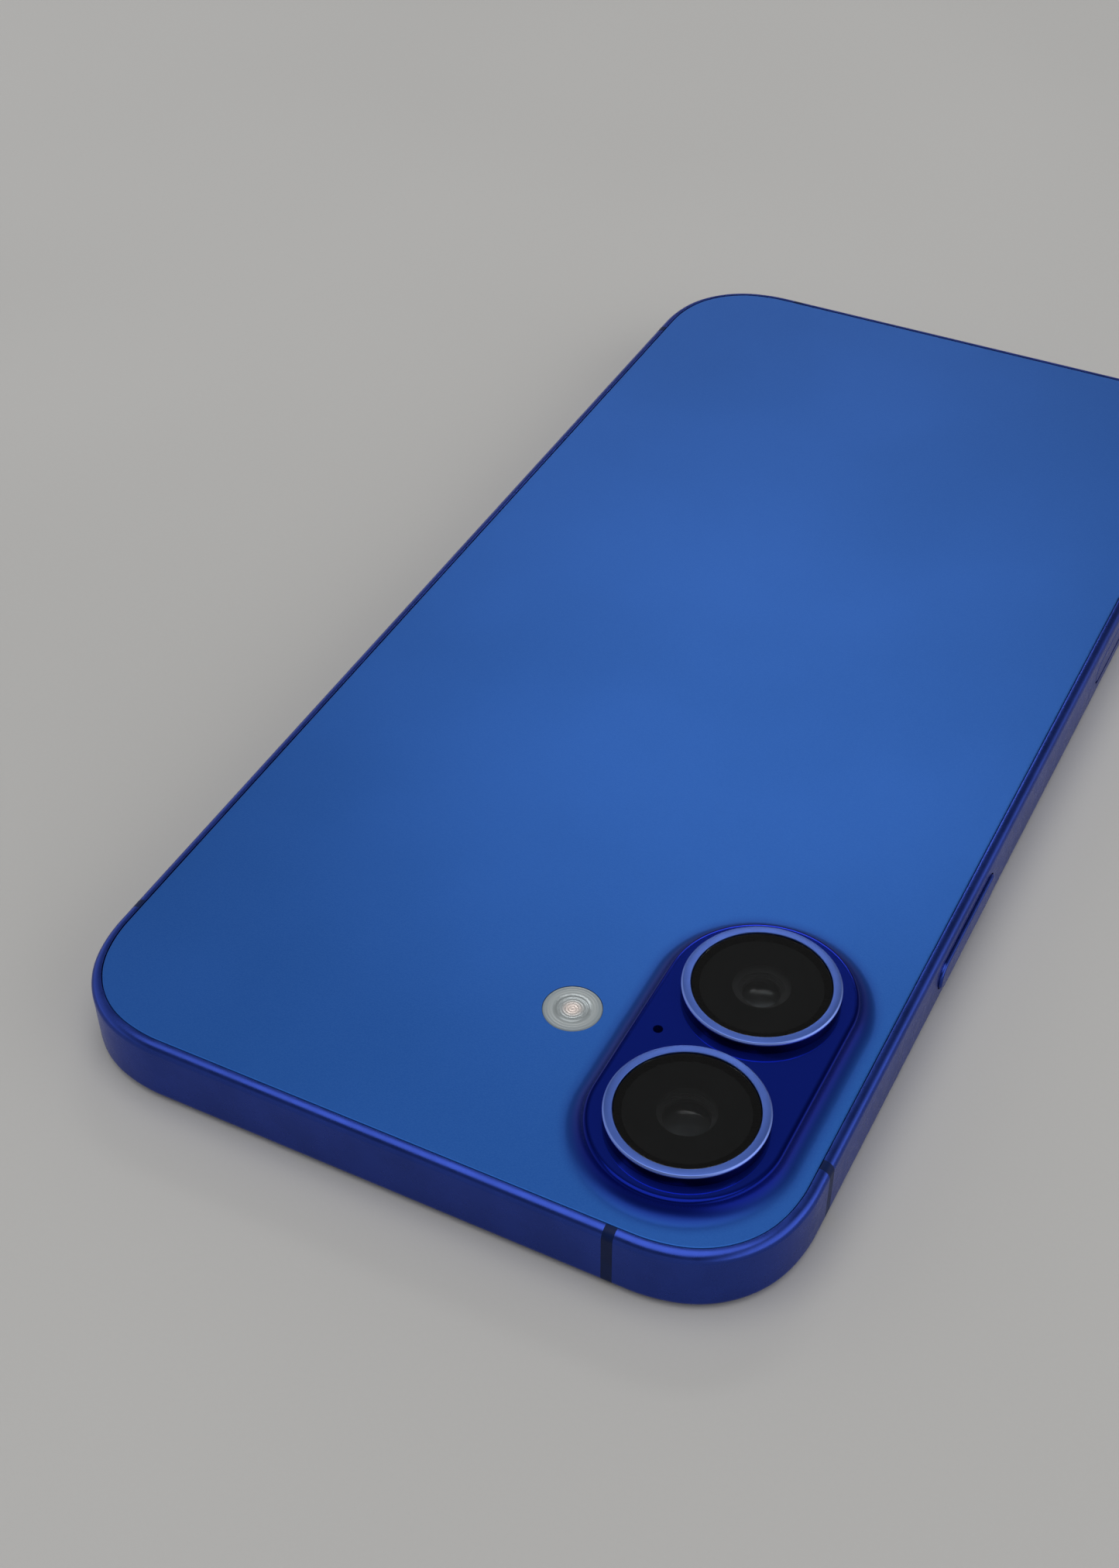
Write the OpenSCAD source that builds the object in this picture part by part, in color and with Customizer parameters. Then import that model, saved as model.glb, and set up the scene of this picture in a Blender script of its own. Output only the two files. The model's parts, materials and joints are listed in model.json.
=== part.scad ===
// Smartphone, back up: aluminium side band and deck, glass front and back, two rear cameras.
// The display glass lies on z = 0, +Z points out of the back and +Y points to the top edge.

/* [Body] */
// Width across the flat sides
body_w = 77.8; // [76:0.1:84]
// Length from the top edge to the bottom edge
body_l = 160.9; // [157:0.1:168]
// Thickness from the display glass to the back glass
body_t = 7.8; // [7.5:0.05:8.6]
// Radius at the middle of each corner
corner_r = 11.6; // [10.5:0.1:12.5]
// How much larger the easing arcs on both sides of a corner are
corner_ease = 5.5; // [3:0.25:7]
// Rounding of the long outer edges
edge_r = 1; // [0.7:0.05:1.1]
// Thickness of the side band
wall = 2.2; // [2.1:0.05:2.3]
// Width of the side band's lip beside the glass
lip = 1.12; // [1.12:0.02:1.3]
// How far the display glass stands proud of the side band
display_proud = 0.15; // [0.1:0.05:0.25]
// Thickness of the deck between display and battery
deck_t = 0.6; // [0.5:0.05:0.8]
// Width of an antenna break in the side band
break_w = 1.15; // [0.9:0.05:1.4]
// Distance of the breaks in the long sides from the ends
side_break = 16.05; // [15.5:0.05:18]
// Distance of the breaks in the short edges from the middle
end_break = 23.6; // [22:0.1:24.4]

/* [Display] */
// Thickness of the display glass
display_t = 0.75; // [0.6:0.05:0.9]
// Thickness of the display panel
panel_t = 0.8; // [0.6:0.05:1]
// Length of the sensor window in the panel
window_l = 20.4; // [18:0.1:22]
// Width of the sensor window in the panel
window_w = 5.9; // [5.6:0.1:6.2]
// Distance of the sensor window from the top edge
window_from_top = 8.6; // [8.5:0.1:9]
// Length of the earpiece slot
earpiece_l = 12; // [10:0.2:14]
// Width of the earpiece slot
earpiece_w = 0.6; // [0.5:0.05:0.8]

/* [Back glass] */
// Thickness of the back glass
glass_t = 0.75; // [0.6:0.05:0.9]
// Rounding of the glass edges
glass_edge = 0.12; // [0.06:0.02:0.2]
// Radius of the flat top of the camera plateau
plateau_r = 9.3; // [9:0.05:9.5]
// Radius of the plateau's convex shoulder
shoulder_r = 0.45; // [0.3:0.05:0.6]
// Radius of the hollow that runs out into the back
hollow_r = 1.8; // [1.4:0.05:1.85]

/* [Cameras] */
// Distance of both lenses from the side
lens_from_side = 13.95; // [13.9:0.05:14.6]
// Distance of the main lens from the top edge
lens_from_top = 14.19; // [14.1:0.01:15]
// Distance between the two lenses
lens_pitch = 17.63; // [17.4:0.01:19]
// Outer radius of a lens ring
ring_r = 7.9; // [7.7:0.05:8.1]
// Radius of a lens cover glass
cover_r = 6.9; // [6.8:0.05:7.1]
// Height of a lens ring above the plateau
ring_h = 1.38; // [1.1:0.02:1.6]
// Chamfer round the top of a lens ring
ring_chamfer = 0.14; // [0.1:0.01:0.35]
// Thickness of a lens cover glass
cover_t = 0.5; // [0.4:0.05:0.6]
// How deep a cover glass sits below the top of its ring
cover_recess = 0.15; // [0.05:0.05:0.25]
// Side of the main camera module
main_size = 15.4; // [14.6:0.1:15.8]
// Side of the ultra wide camera module
wide_size = 13.2; // [12.4:0.1:13.6]
// Radius of the main lens barrel
main_barrel_r = 5; // [4.7:0.05:5.3]
// Radius of the ultra wide lens barrel
wide_barrel_r = 4.1; // [3.8:0.05:4.4]
// Focus travel of each lens barrel
focus_travel = 0.3; // [0.2:0.05:0.4]
// Distance from the lens axis across to the flash
flash_offset = 16.29; // [15.8:0.01:17]
// Radius of the flash lens
flash_r = 3.03; // [2.7:0.01:3.2]
// Distance from the lens axis across to the rear microphone
mic_offset = 7.05; // [6.8:0.05:7.3]
// Radius of the rear microphone hole
mic_r = 0.5; // [0.3:0.05:0.6]

/* [Keys] */
// Height of the keys across the side band
key_h = 3.3; // [2.8:0.1:3.6]
// How far the keys stand out
key_proud = 0.35; // [0.2:0.05:0.5]
// Travel of a pressed key
key_travel = 0.25; // [0.15:0.05:0.3]
// Length of the side key
side_key_l = 17; // [15:0.1:19]
// Distance of the side key from the top edge
side_key_from_top = 54.4; // [52:0.1:57]
// Length of the camera control
control_l = 18.4; // [16:0.1:20]
// Height of the camera control
control_h = 2.9; // [2.6:0.1:3.2]
// Distance of the camera control from the top edge
control_from_top = 110.05; // [106:0.05:114]
// Travel of the camera control
control_travel = 0.15; // [0.1:0.05:0.2]
// Length of the action key
action_key_l = 6.6; // [6:0.1:8]
// Distance of the action key from the top edge
action_key_from_top = 37.6; // [36:0.1:39]
// Length of a volume key
volume_key_l = 11; // [10:0.1:12]
// Distance of the upper volume key from the top edge
volume_from_top = 52.2; // [51:0.1:53]
// Distance between the volume keys
volume_pitch = 14.6; // [13.6:0.1:16]

/* [Card tray] */
// Length of the tray's face
tray_l = 16.6; // [16.4:0.1:17.4]
// Height of the tray's face
tray_h = 2.4; // [2.2:0.1:2.8]
// Distance of the tray from the top edge
tray_from_top = 86; // [84:0.1:88]
// Length of a card in the tray
card_l = 12.3; // [12.3:0.01:12.4]
// Width of a card in the tray
card_w = 8.8; // [8.8:0.01:8.9]
// Pull-out travel of the tray
tray_travel = 12.5; // [11:0.1:13]

/* [Bottom edge] */
// Inner width of the charging socket
socket_w = 8.34; // [8.34:0.01:8.4]
// Inner height of the charging socket
socket_h = 2.56; // [2.56:0.01:2.6]
// Depth of the charging socket
socket_d = 6.2; // [6:0.05:6.5]
// Wall of the charging socket's shell
socket_wall = 0.3; // [0.2:0.05:0.35]
// Distance of the bottom screws from the middle
foot_screw_x = 7.6; // [7.3:0.1:8]
// Distance from the middle to the first sound hole on each side
first_hole_x = 11.4; // [11:0.1:12]
// Distance from the last sound hole to where the corner begins
hole_margin = 2.64; // [2.4:0.02:3]
// Wall between two sound holes
hole_wall = 0.8; // [0.7:0.05:1]
// Number of loudspeaker holes
speaker_holes = 6; // [4:1:6]
// Number of microphone holes
mic_holes = 4; // [2:1:5]

/* [Interior] */
// Space kept for switches inside each long side
key_bay = 2; // [2:0.05:2.3]
// Depth of the bay behind the bottom edge
foot_bay = 14.5; // [14:0.1:15.5]
// Width of the logic board
board_w = 21.5; // [20.5:0.1:22.5]
// Length of the logic board
board_l = 104; // [100:0.5:106]
// Distance of the logic board from the top edge
board_from_top = 20.4; // [20:0.1:21.5]
// Thickness of a circuit board
board_t = 0.5; // [0.4:0.05:0.6]
// Outer radius of the charging coil
coil_r = 20.6; // [19.5:0.1:21]
// Turns in the charging coil
coil_turns = 9; // [7:1:11]
// Pitch of the coil's turns
coil_pitch = 1.2; // [1:0.05:1.3]
// Inner radius of the ring of magnets
magnet_r = 23; // [22.6:0.1:23.4]
// Width of the ring of magnets
magnet_w = 4; // [3:0.1:4.4]
// Number of magnets in the ring
magnet_count = 18; // [12:2:20]
// Distance of the haptic motor from the space for switches
haptic_gap = 3.8; // [3.4:0.1:5]
// Travel of the haptic mass each way
haptic_travel = 0.4; // [0.2:0.05:0.5]

/* [Fits] */
// Seam between the side band and each glass
seam = 0.08; // [0.05:0.01:0.12]
// Gap round a key in its slot
key_gap = 0.15; // [0.1:0.01:0.2]
// Radial clearance of a stem or screw in its hole
slip = 0.06; // [0.03:0.01:0.1]
// Thickness of the adhesive seals
seal_t = 0.1; // [0.08:0.01:0.15]
// Gap between parts packed beside each other
pack_gap = 0.3; // [0.2:0.05:0.4]
// Thickness of the ribbons
ribbon_t = 0.15; // [0.1:0.01:0.15]

/* [Hidden] */
$fn = 72;
eps = 0.01;
// How far a cut runs past what it cuts, and how deep pieces of one body run into each other
over = 1;
sink = 0.1;
half_w = body_w / 2;
half_l = body_l / 2;
mid_z = body_t / 2;
// An easing arc hands over to the corner arc in the direction (24, 7) / 25, which is exact
lean = [0.96, 0.28];
lean_across = [0.28, 0.96];
ease_r = corner_r + corner_ease;
corner_c = [half_w, half_l] - (corner_r + (1 - lean.x) * corner_ease) * [1, 1];
ease_side = corner_c - corner_ease * lean;
ease_end = corner_c - corner_ease * lean_across;
// Levels from the display up
band_z = display_proud;
front_ledge = display_t + seal_t;
panel_gap = ribbon_t;
deck_z = display_t + panel_t + panel_gap;
deck_top = deck_z + deck_t;
glass_in = body_t - glass_t;
ledge_z = glass_in - seal_t;
glass_inset = lip + seam;
inner_inset = wall + pack_gap;
rim_w = 2;
seal_margin = 0.1;
display_edge = 0.35;
plateau_h = (1 - lean.y) * (shoulder_r + hollow_r);
plateau_z = body_t + plateau_h;
plateau_foot = plateau_r + lean.x * (shoulder_r + hollow_r);
ring_top = plateau_z + ring_h;
cover_z = ring_top - cover_recess - cover_t;
cover_chamfer = 0.08;
ring_bore = cover_r - 0.8;
ring_sleeve = ring_r - 0.35;
ring_foot = glass_in - 0.15;
// Deck and band
deck_root = 0.4;
break_notch = 0.6;
boss_r = 1.5;
post_r = 1.4;
screw_r = 0.6;
screw_head_r = 1.1;
screw_head_h = 0.4;
// Places of the cameras
lens_x = lens_from_side - half_w;
main_y = half_l - lens_from_top;
wide_y = main_y - lens_pitch;
pair_y = (main_y + wide_y) / 2;
flash_x = lens_x + flash_offset;
mic_x = lens_x + mic_offset;
// Inside of the camera stack, from the glass down
gasket_t = 0.1;
gasket_r = 1;
mic_t = 0.7;
mic_body = [3, 2.2];
bracket_t = 0.25;
bracket_z = glass_in - gasket_t - mic_t - bracket_t;
bracket_top = bracket_z + bracket_t;
bracket_arm = 3.2;
bracket_bore = 0.5;
bracket_screws = [
    [lens_x - main_size / 2 - pack_gap - post_r, main_y - 2],
    [lens_x + main_size / 2 + pack_gap + post_r, main_y],
    [lens_x + main_size / 2 + pack_gap + post_r, wide_y]
];
bracket_screw_l = 3;
camera_z = deck_top + 0.15;
camera_floor = 0.4;
camera_cut = 1.2;
sensor_t = 0.4;
sensor_gap = 0.15;
sensor_lift = 0.2;
barrel_gap = 0.15;
barrel_wall = 0.7;
barrel_chamfer = 0.6;
barrel_z = camera_z + camera_floor + sensor_t + 0.3;
barrel_top = cover_z - focus_travel - 0.2;
// Shares of a barrel's radius: its iris, and its sensor's length and width
iris_share = 0.45;
sensor_share = [1.88, 1.42];
iris_chamfer = 0.5;
lens_count = 4;
// Shares of the room that a lens has: its edge and its crown
edge_share = 0.35;
crown_share = 0.5;
flash_foot = glass_in - 0.35;
flash_flange = 0.5;
flash_gap = 0.03;
groove_count = 4;
groove_pitch = 0.6;
groove_w = 0.3;
groove_d = 0.2;
bowl_d = 0.3;
bowl_edge = 0.2;
bowl_slope = 0.5;
emitter_w = 1.6;
emitter_h = 0.15;
// Front camera, face sensors and earpiece
window_y = half_l - window_from_top;
window_margin = [6, 1];
deck_window = [window_l, window_w] + window_margin;
nose_gap = 0.05;
nose_h = 1.2;
front_camera_x = -window_l / 3;
front_camera_r = 2.1;
front_camera_body = [6, 6, 3.4];
sensor_pitch = 6.6;
sensor_r = 1.9;
sensor_body = [12.6, 6, 2.8];
ear_reach = 1.8;
ear_t = 0.3;
ear_inset = 1;
earpiece_body_l = 1.5 * earpiece_l;
earpiece_body_h = 3.6;
earpiece_duct_z = deck_top + 1.2;
earpiece_wall = 0.6;
mesh_recess = 0.1;
// Keys
pocket_d = 1.25;
key_edge = 0.3;
key_floor = 0.1;
stem_r = 0.65;
stem_inset = 0.2;
clip_t = 0.3;
clip_w = 2;
clip_gap = 0.05;
switch_t = 0.8;
switch_gap = 0.03;
switch_body = [2.6, 3.4];
dome_r = 1;
dome_h = 0.12;
strip_margin = 4;
strip_h = 2.8;
brace_rise = 1.6;
brace_t = 0.2;
switch_z = wall + clip_gap + clip_t + max(key_travel, control_travel) + switch_gap;
side_key_y = half_l - side_key_from_top;
control_y = half_l - control_from_top;
action_y = half_l - action_key_from_top;
volume_up_y = half_l - volume_from_top;
volume_down_y = volume_up_y - volume_pitch;
left_keys = [[side_key_y, side_key_l, key_h], [control_y, control_l, control_h]];
right_keys = [
    [action_y, action_key_l, key_h],
    [volume_up_y, volume_key_l, key_h],
    [volume_down_y, volume_key_l, key_h]
];
// Card tray
tray_y = half_l - tray_from_top;
tray_face_t = 1;
tray_seat = 0.1;
tray_edge = 0.1;
tray_t = 1;
tray_floor = 0.3;
tray_neck = 0.9;
tray_rim = 0.9;
tray_plate_l = card_l + 0.7;
tray_plate_d = card_w + 2.6;
tray_slack = 0.15;
eject_r = 0.45;
eject_slack = 0.1;
eject_y = tray_plate_l / 2 + tray_slack + eject_r + 0.3;
cage_wall = 0.2;
cage_l = tray_plate_l + 2 * (tray_slack + cage_wall);
cage_h = tray_t + 2 * (tray_slack + cage_wall);
cage_d = tray_plate_d + tray_face_t - wall + 0.6;
// Charging socket and the screws beside it
socket_recess = 0.25;
socket_back = half_l - socket_recess - socket_d;
shell_w = socket_w + 2 * socket_wall;
shell_h = socket_h + 2 * socket_wall;
body_back = socket_back - 1.4;
body_w_inner = shell_w / 2 + 0.8;
body_roof = 0.4;
tongue_w = 6.69;
tongue_t = 0.7;
tongue_l = 4.45;
tongue_base = [socket_h - 0.6, socket_w - 2.2, 0.8];
contact = [0.04, 0.25, tongue_l - 1.6];
contact_count = 12;
contact_pitch = 0.5;
contact_z = tongue_l / 2 + 0.5 - socket_recess - socket_d;
foot_head_r = 1.1;
foot_head_h = 0.6;
foot_recess = 0.15;
foot_shank_r = 0.7;
foot_shank_l = 4;
wing_reach = 1.6;
wing_d = 2.7;
wing_rise = 1.4;
// Bay behind the bottom edge
bay_edge = half_w - wall - key_bay;
hole_places = 6;
hole_pitch = (ease_end.x - hole_margin - first_hole_x) / (hole_places - 1);
hole_r = (hole_pitch - hole_wall) / 2;
foot_y = half_l - wall - foot_bay;
bay_front = half_l - wall - 1.85;
bay_x = first_hole_x - hole_r - 0.35;
foot_h = 3.8;
foot_top = deck_top + foot_h;
mesh_t = 0.15;
mesh_margin = 1.2;
mic_can = [2.2, 1.3, 2.2];
case_wall = 0.3;
mass_gap = 0.1;
haptic_x1 = bay_edge - haptic_gap;
speaker_rim = 3.2;
duct_l = (hole_places - 1) * hole_pitch + 2.2;
duct_h = 2.8;
duct_wall = 0.4;
cone_at = [-(bay_edge + bay_x) / 2, -(bay_front + foot_y) / 2 + 0.8];
cone_l = bay_edge - bay_x - 2 * speaker_rim;
cone_w = 8;
cone_z = foot_top - 0.8;
cone_t = 0.25;
cone_rise = 0.6;
cone_edge = 0.3;
cone_border = 3;
chamber_edge = 1;
// Logic board and what is plugged into it; chips and cans are shares of the board they stand on
board_x0 = bay_edge - board_w;
board_y1 = half_l - board_from_top;
board_y0 = board_y1 - board_l;
board_z = mid_z - cage_h / 2 - board_t;
board_top = board_z + board_t;
screw_inset = 2;
board_screws = [for (x = [board_x0 + screw_inset, bay_edge - screw_inset],
    y = [board_y0 + screw_inset, board_y1 - screw_inset]) [x, y]];
cage_margin = 1.5;
upper_margin = 14;
lower_l = tray_y - cage_l / 2 - cage_margin - board_y0;
upper_y0 = tray_y + cage_l / 2 + cage_margin;
upper_y1 = board_y1 - upper_margin;
upper_l = upper_y1 - upper_y0;
upper_z = board_top + 0.8;
upper_top = upper_z + board_t;
interposer_w = 1.2;
notch = [2, 4];
chip_h = 0.7;
low_chips = [
    [0.28, 0.07, 0.37, 0.28], [0.74, 0.13, 0.19, 0.2], [0.42, 0.44, 0.21, 0.16],
    [0.7, 0.41, 0.23, 0.23], [0.35, 0.7, 0.32, 0.19], [0.09, 0.76, 0.19, 0.13]
];
high_chips = [
    [0.14, 0.07, 0.65, 0.3], [0.14, 0.42, 0.28, 0.2], [0.51, 0.42, 0.33, 0.16], [0.19, 0.67, 0.56, 0.23]
];
cans = [[0.025, 0.635], [0.65, 0.95]];
can_margin = 1;
can_wall = 0.2;
can_h = 1.2;
can_roof = 0.15;
plug_h = 0.8;
flex_x0 = board_x0 + 5.5;
flex_w = 10;
flex_slot_y = board_y1 + 1.4;
flex_slot_w = 1.6;
flex_fold = 2.3;
flex_reach = 6;
flex_margin = 0.5;
plug_y = 4.5;
plug_d = 2.5;
battery_plug_y = board_y0 + 0.44 * lower_l;
battery_ribbon_w = 6;
battery_ribbon_rise = 1;
battery_fold = 1.5;
battery_plug_x = [3, 5.5, 6];
dock_ribbon_w = 8;
dock_branch_w = 5.8;
dock_branch_x = board_x0 + 5;
dock_turn = 1.1;
dock_plug = [5, 2];
dock_under = 3;
// Battery and what lies between it and the back glass
cell_x1 = board_x0 - 2.5 * pack_gap;
cell_y0 = -foot_y + 1.75;
cell_y1 = wide_y - wide_size / 2 - 1;
cell_r = 1.5;
tape_t = 0.15;
tape_w = 10;
tape_end = 4;
cell_z = deck_top + tape_t;
magnet_t = 0.6;
magnet_gap = 1.5;
bar = [4.4, 16];
bar_offset = 20;
coil_wire = coil_pitch - 0.3;
sheet_t = 0.15;
sheet_margin = 0.6;
sheet_hole = 3;
coil_t = magnet_t - sheet_t;
cell_top = glass_in - magnet_t - 0.1;
// Antenna carrier
carrier_offset = [1, 4];
carrier_h = 3;
carrier_wall = 0.8;
carrier_roof = 0.6;
// Shares of a screw's head: its drive's length, width and depth
drive = [1.1, 0.32, 0.6];

band_colour = [0.30, 0.36, 0.68];
back_colour = [0.20, 0.39, 0.70];
ring_colour = [0.36, 0.45, 0.76];
break_colour = [0.10, 0.16, 0.33];
steel = [0.72, 0.73, 0.75];
copper = [0.76, 0.46, 0.28];
can_colour = [0.75, 0.70, 0.55];
gold = [0.86, 0.68, 0.30];
speaker_colour = [0.14, 0.14, 0.15];
flex_colour = [0.55, 0.36, 0.13];
board_colour = [0.05, 0.16, 0.12];
plastic_black = [0.07, 0.07, 0.08];

// ---------- Shapes ----------

// A flat shape raised from level z0 to level z1
module slab(z0, z1) translate([0, 0, z0]) linear_extrude(z1 - z0) children();

// A box between two opposite corners
module block(low, high) translate(low) cube(high - low);

// A quarter of a disc in the first quadrant
module quarter_disc(r) intersection() {
    circle(r);
    square(2 * r);
}

// The part of a disc between two directions less than a right angle apart
module disc_slice(r, from, to) intersection() {
    circle(r);
    polygon([[0, 0], 2 * r * from, 2 * r * (from + to), 2 * r * to]);
}

// A rectangle from the axis out, its top outer corner rounded
module half_section(w, h, r) {
    if (r > 0) {
        polygon([[0, 0], [w, 0], [w, h - r], [w - r, h - r], [w - r, h], [0, h]]);
        translate([w - r, h - r]) quarter_disc(r);
    } else {
        square([w, h]);
    }
}

// A round-ended bar along Y on z = 0, its top edge rounded by r
module pill(length, width, height, r = 0) {
    straight = length - width;
    translate([0, straight / 2, 0]) rotate([90, 0, 0]) linear_extrude(straight) {
        half_section(width / 2, height, r);
        mirror([1, 0]) half_section(width / 2, height, r);
    }
    for (turn = [0, 180]) rotate([0, 0, turn]) translate([0, straight / 2, 0])
        rotate_extrude(angle = 180) half_section(width / 2, height, r);
}

module pill_across(length, width, height, r = 0) rotate([0, 0, 90]) pill(length, width, height, r);

// The four mirror images of what lies in the +X +Y quarter
module four_ways() for (x = [0, 1], y = [0, 1]) mirror([x, 0, 0]) mirror([0, y, 0]) children();

// A rectangle round the middle with corners of radius r
module rounded(w, l, r) four_ways() {
    polygon([[0, 0], [w / 2, 0], [w / 2, l / 2 - r], [w / 2 - r, l / 2 - r], [w / 2 - r, l / 2], [0, l / 2]]);
    translate([w / 2 - r, l / 2 - r]) quarter_disc(r);
}

// The handset's outline, set in by d: each corner is a corner arc between two easing arcs
module outline(d) four_ways() {
    side = [half_w - d, ease_side.y];
    end = [ease_end.x, half_l - d];
    polygon([[0, 0], [side.x, 0], side, ease_side, corner_c, ease_end, end, [0, end.y]]);
    translate(ease_side) disc_slice(ease_r - d, [1, 0], lean);
    translate(corner_c) disc_slice(corner_r - d, lean, lean_across);
    translate(ease_end) disc_slice(ease_r - d, lean_across, [0, 1]);
}

// Turns a section, drawn outwards from a radius r, between two directions
module turned(r, from, to) {
    reach = 3 * r;
    intersection() {
        rotate_extrude() translate([r, 0]) children();
        slab(-over, body_t + over) polygon([[0, 0], reach * from, reach * (from + to), reach * to]);
    }
}

// Runs a section round the whole outline: its x is measured outwards from the outline, its y is Z
module round_the_outline() {
    for (x = [0, 1]) mirror([x, 0, 0]) translate([half_w, ease_side.y, 0]) rotate([90, 0, 0])
        linear_extrude(2 * ease_side.y) children();
    for (y = [0, 1]) mirror([0, y, 0]) translate([-ease_end.x, half_l, 0]) rotate([90, 0, 90])
        linear_extrude(2 * ease_end.x) children();
    four_ways() {
        translate(ease_side) turned(ease_r, [1, 0], lean) children();
        translate(corner_c) turned(corner_r, lean, lean_across) children();
        translate(ease_end) turned(ease_r, lean_across, [0, 1]) children();
    }
}

// Turns +Z outwards and Y along the edge, on the left side, the right side or the bottom edge
module on_left(y) translate([-half_w, y, mid_z]) rotate([0, -90, 0]) children();
module on_right(y) translate([half_w, y, mid_z]) rotate([0, 90, 0]) children();
module on_bottom(x) translate([x, -half_l, mid_z]) rotate([90, 0, 0]) rotate([0, 0, -90]) children();

// Whatever is drawn on the right side at Y = 0, brought to each antenna break
module at_breaks() {
    four_ways() translate([half_w, half_l - side_break, 0]) children();
    for (turn = [90, 270]) rotate([0, 0, turn]) translate([half_l, end_break, 0]) children();
}

module at_main() translate([lens_x, main_y, 0]) children();
module at_wide() translate([lens_x, wide_y, 0]) children();
module at_flash() translate([flash_x, pair_y, 0]) children();

// ---------- Side band and deck ----------

// Section of the side band: rounded outside, with a ledge for each glass
module band_section() {
    polygon([
        [-wall, front_ledge], [-lip, front_ledge], [-lip, band_z], [-edge_r, band_z],
        [-edge_r, band_z + edge_r], [0, band_z + edge_r], [0, body_t - edge_r],
        [-edge_r, body_t - edge_r], [-edge_r, body_t], [-lip, body_t], [-lip, ledge_z],
        [-wall, ledge_z]
    ]);
    translate([-edge_r, body_t - edge_r]) quarter_disc(edge_r);
    translate([-edge_r, band_z + edge_r]) mirror([0, 1]) quarter_disc(edge_r);
}

function stem_offset(length) = (length - key_h) / 2 - stem_inset;

module key_slot(length, height) {
    translate([0, 0, -pocket_d]) pill(length + 2 * key_gap, height + 2 * key_gap, pocket_d + over);
    for (s = [-1, 1]) translate([0, s * stem_offset(length), -wall - over])
        cylinder(r = stem_r + slip, h = wall + over);
}

module tray_slot() {
    translate([0, 0, -tray_face_t - tray_seat])
        pill(tray_l + 2 * key_gap, tray_h + 2 * key_gap, tray_face_t + tray_seat + over);
    translate([0, 0, -wall / 2])
        cube([tray_t + 2 * tray_slack, tray_plate_l + 2 * tray_slack, wall + 2 * over], center = true);
    translate([0, eject_y, -wall - over]) cylinder(r = eject_r + eject_slack, h = wall + over);
}

module sound_holes(count) for (i = [0 : count - 1])
    translate([0, i * hole_pitch, -wall - over]) cylinder(r = hole_r, h = wall + 2 * over);

module foot_screw_hole() {
    translate([0, 0, -wall - over]) cylinder(r = foot_shank_r + slip, h = wall + 2 * over);
    translate([0, 0, -foot_head_h - foot_recess]) cylinder(r = foot_head_r + slip, h = foot_head_h + over);
}

module earpiece_duct() translate([0, half_l - wall, 0])
    block([-earpiece_l / 2, -over, -over], [earpiece_l / 2, wall - lip, earpiece_duct_z]);

module deck_shape() difference() {
    outline(wall - deck_root);
    translate([0, window_y]) square(deck_window, center = true);
    translate([flex_x0 - flex_margin, flex_slot_y]) square([flex_w + 2 * flex_margin, flex_slot_w]);
}

module frame() color(band_colour) difference() {
    union() {
        round_the_outline() band_section();
        slab(deck_z, deck_top) deck_shape();
        for (at = bracket_screws) translate([at.x, at.y, deck_z + sink])
            cylinder(r = post_r, h = bracket_z - deck_z - sink);
        for (at = board_screws) translate([at.x, at.y, deck_z + sink])
            cylinder(r = boss_r, h = board_z - deck_z - sink);
    }
    at_breaks() block([-wall - break_notch, -break_w / 2, -over], [over, break_w / 2, body_t + over]);
    for (key = left_keys) on_left(key[0]) key_slot(key[1], key[2]);
    for (key = right_keys) on_right(key[0]) key_slot(key[1], key[2]);
    on_right(tray_y) tray_slot();
    on_bottom(0) translate([0, 0, -wall - eps]) pill(shell_w + 2 * slip, shell_h + 2 * slip, wall + over);
    for (s = [-1, 1]) on_bottom(s * foot_screw_x) foot_screw_hole();
    on_bottom(first_hole_x) sound_holes(mic_holes);
    mirror([1, 0, 0]) on_bottom(first_hole_x) sound_holes(speaker_holes);
    earpiece_duct();
    for (at = concat(board_screws, bracket_screws)) translate([at.x, at.y, deck_z - over])
        cylinder(r = screw_r + slip, h = body_t);
}

// The moulded fillings of the breaks carry on the band's own section
module antenna_breaks() color(break_colour) intersection() {
    round_the_outline() band_section();
    at_breaks() block([-wall - over, -break_w / 2, -over], [over, break_w / 2, body_t + over]);
}

// ---------- Glass and display ----------

// A sheet on z = 0 that follows the outline, its upper edge rounded
module glass_sheet(thickness, edge) {
    slab(0, thickness) outline(glass_inset + rim_w / 2);
    round_the_outline() translate([-glass_inset - rim_w, 0]) half_section(rim_w, thickness, edge);
}

module seal_ring(z) slab(z, z + seal_t) difference() {
    outline(glass_inset + seal_margin);
    outline(wall - seal_margin);
}

// Section of the camera plateau: flat top, convex shoulder, then a hollow that ends level with the back
module plateau_section() {
    hollow = [plateau_foot, body_t + hollow_r];
    shoulder = [plateau_r, plateau_z - shoulder_r];
    difference() {
        polygon([
            [0, glass_in], [plateau_foot, glass_in], hollow, shoulder, [plateau_r, plateau_z], [0, plateau_z]
        ]);
        translate(hollow) circle(hollow_r);
    }
    translate(shoulder) disc_slice(shoulder_r, lean, [0, 1]);
}

module plateau() {
    at_main() rotate([90, 0, 0]) linear_extrude(lens_pitch) {
        plateau_section();
        mirror([1, 0]) plateau_section();
    }
    at_main() rotate_extrude(angle = 180) plateau_section();
    at_wide() rotate([0, 0, 180]) rotate_extrude(angle = 180) plateau_section();
}

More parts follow.
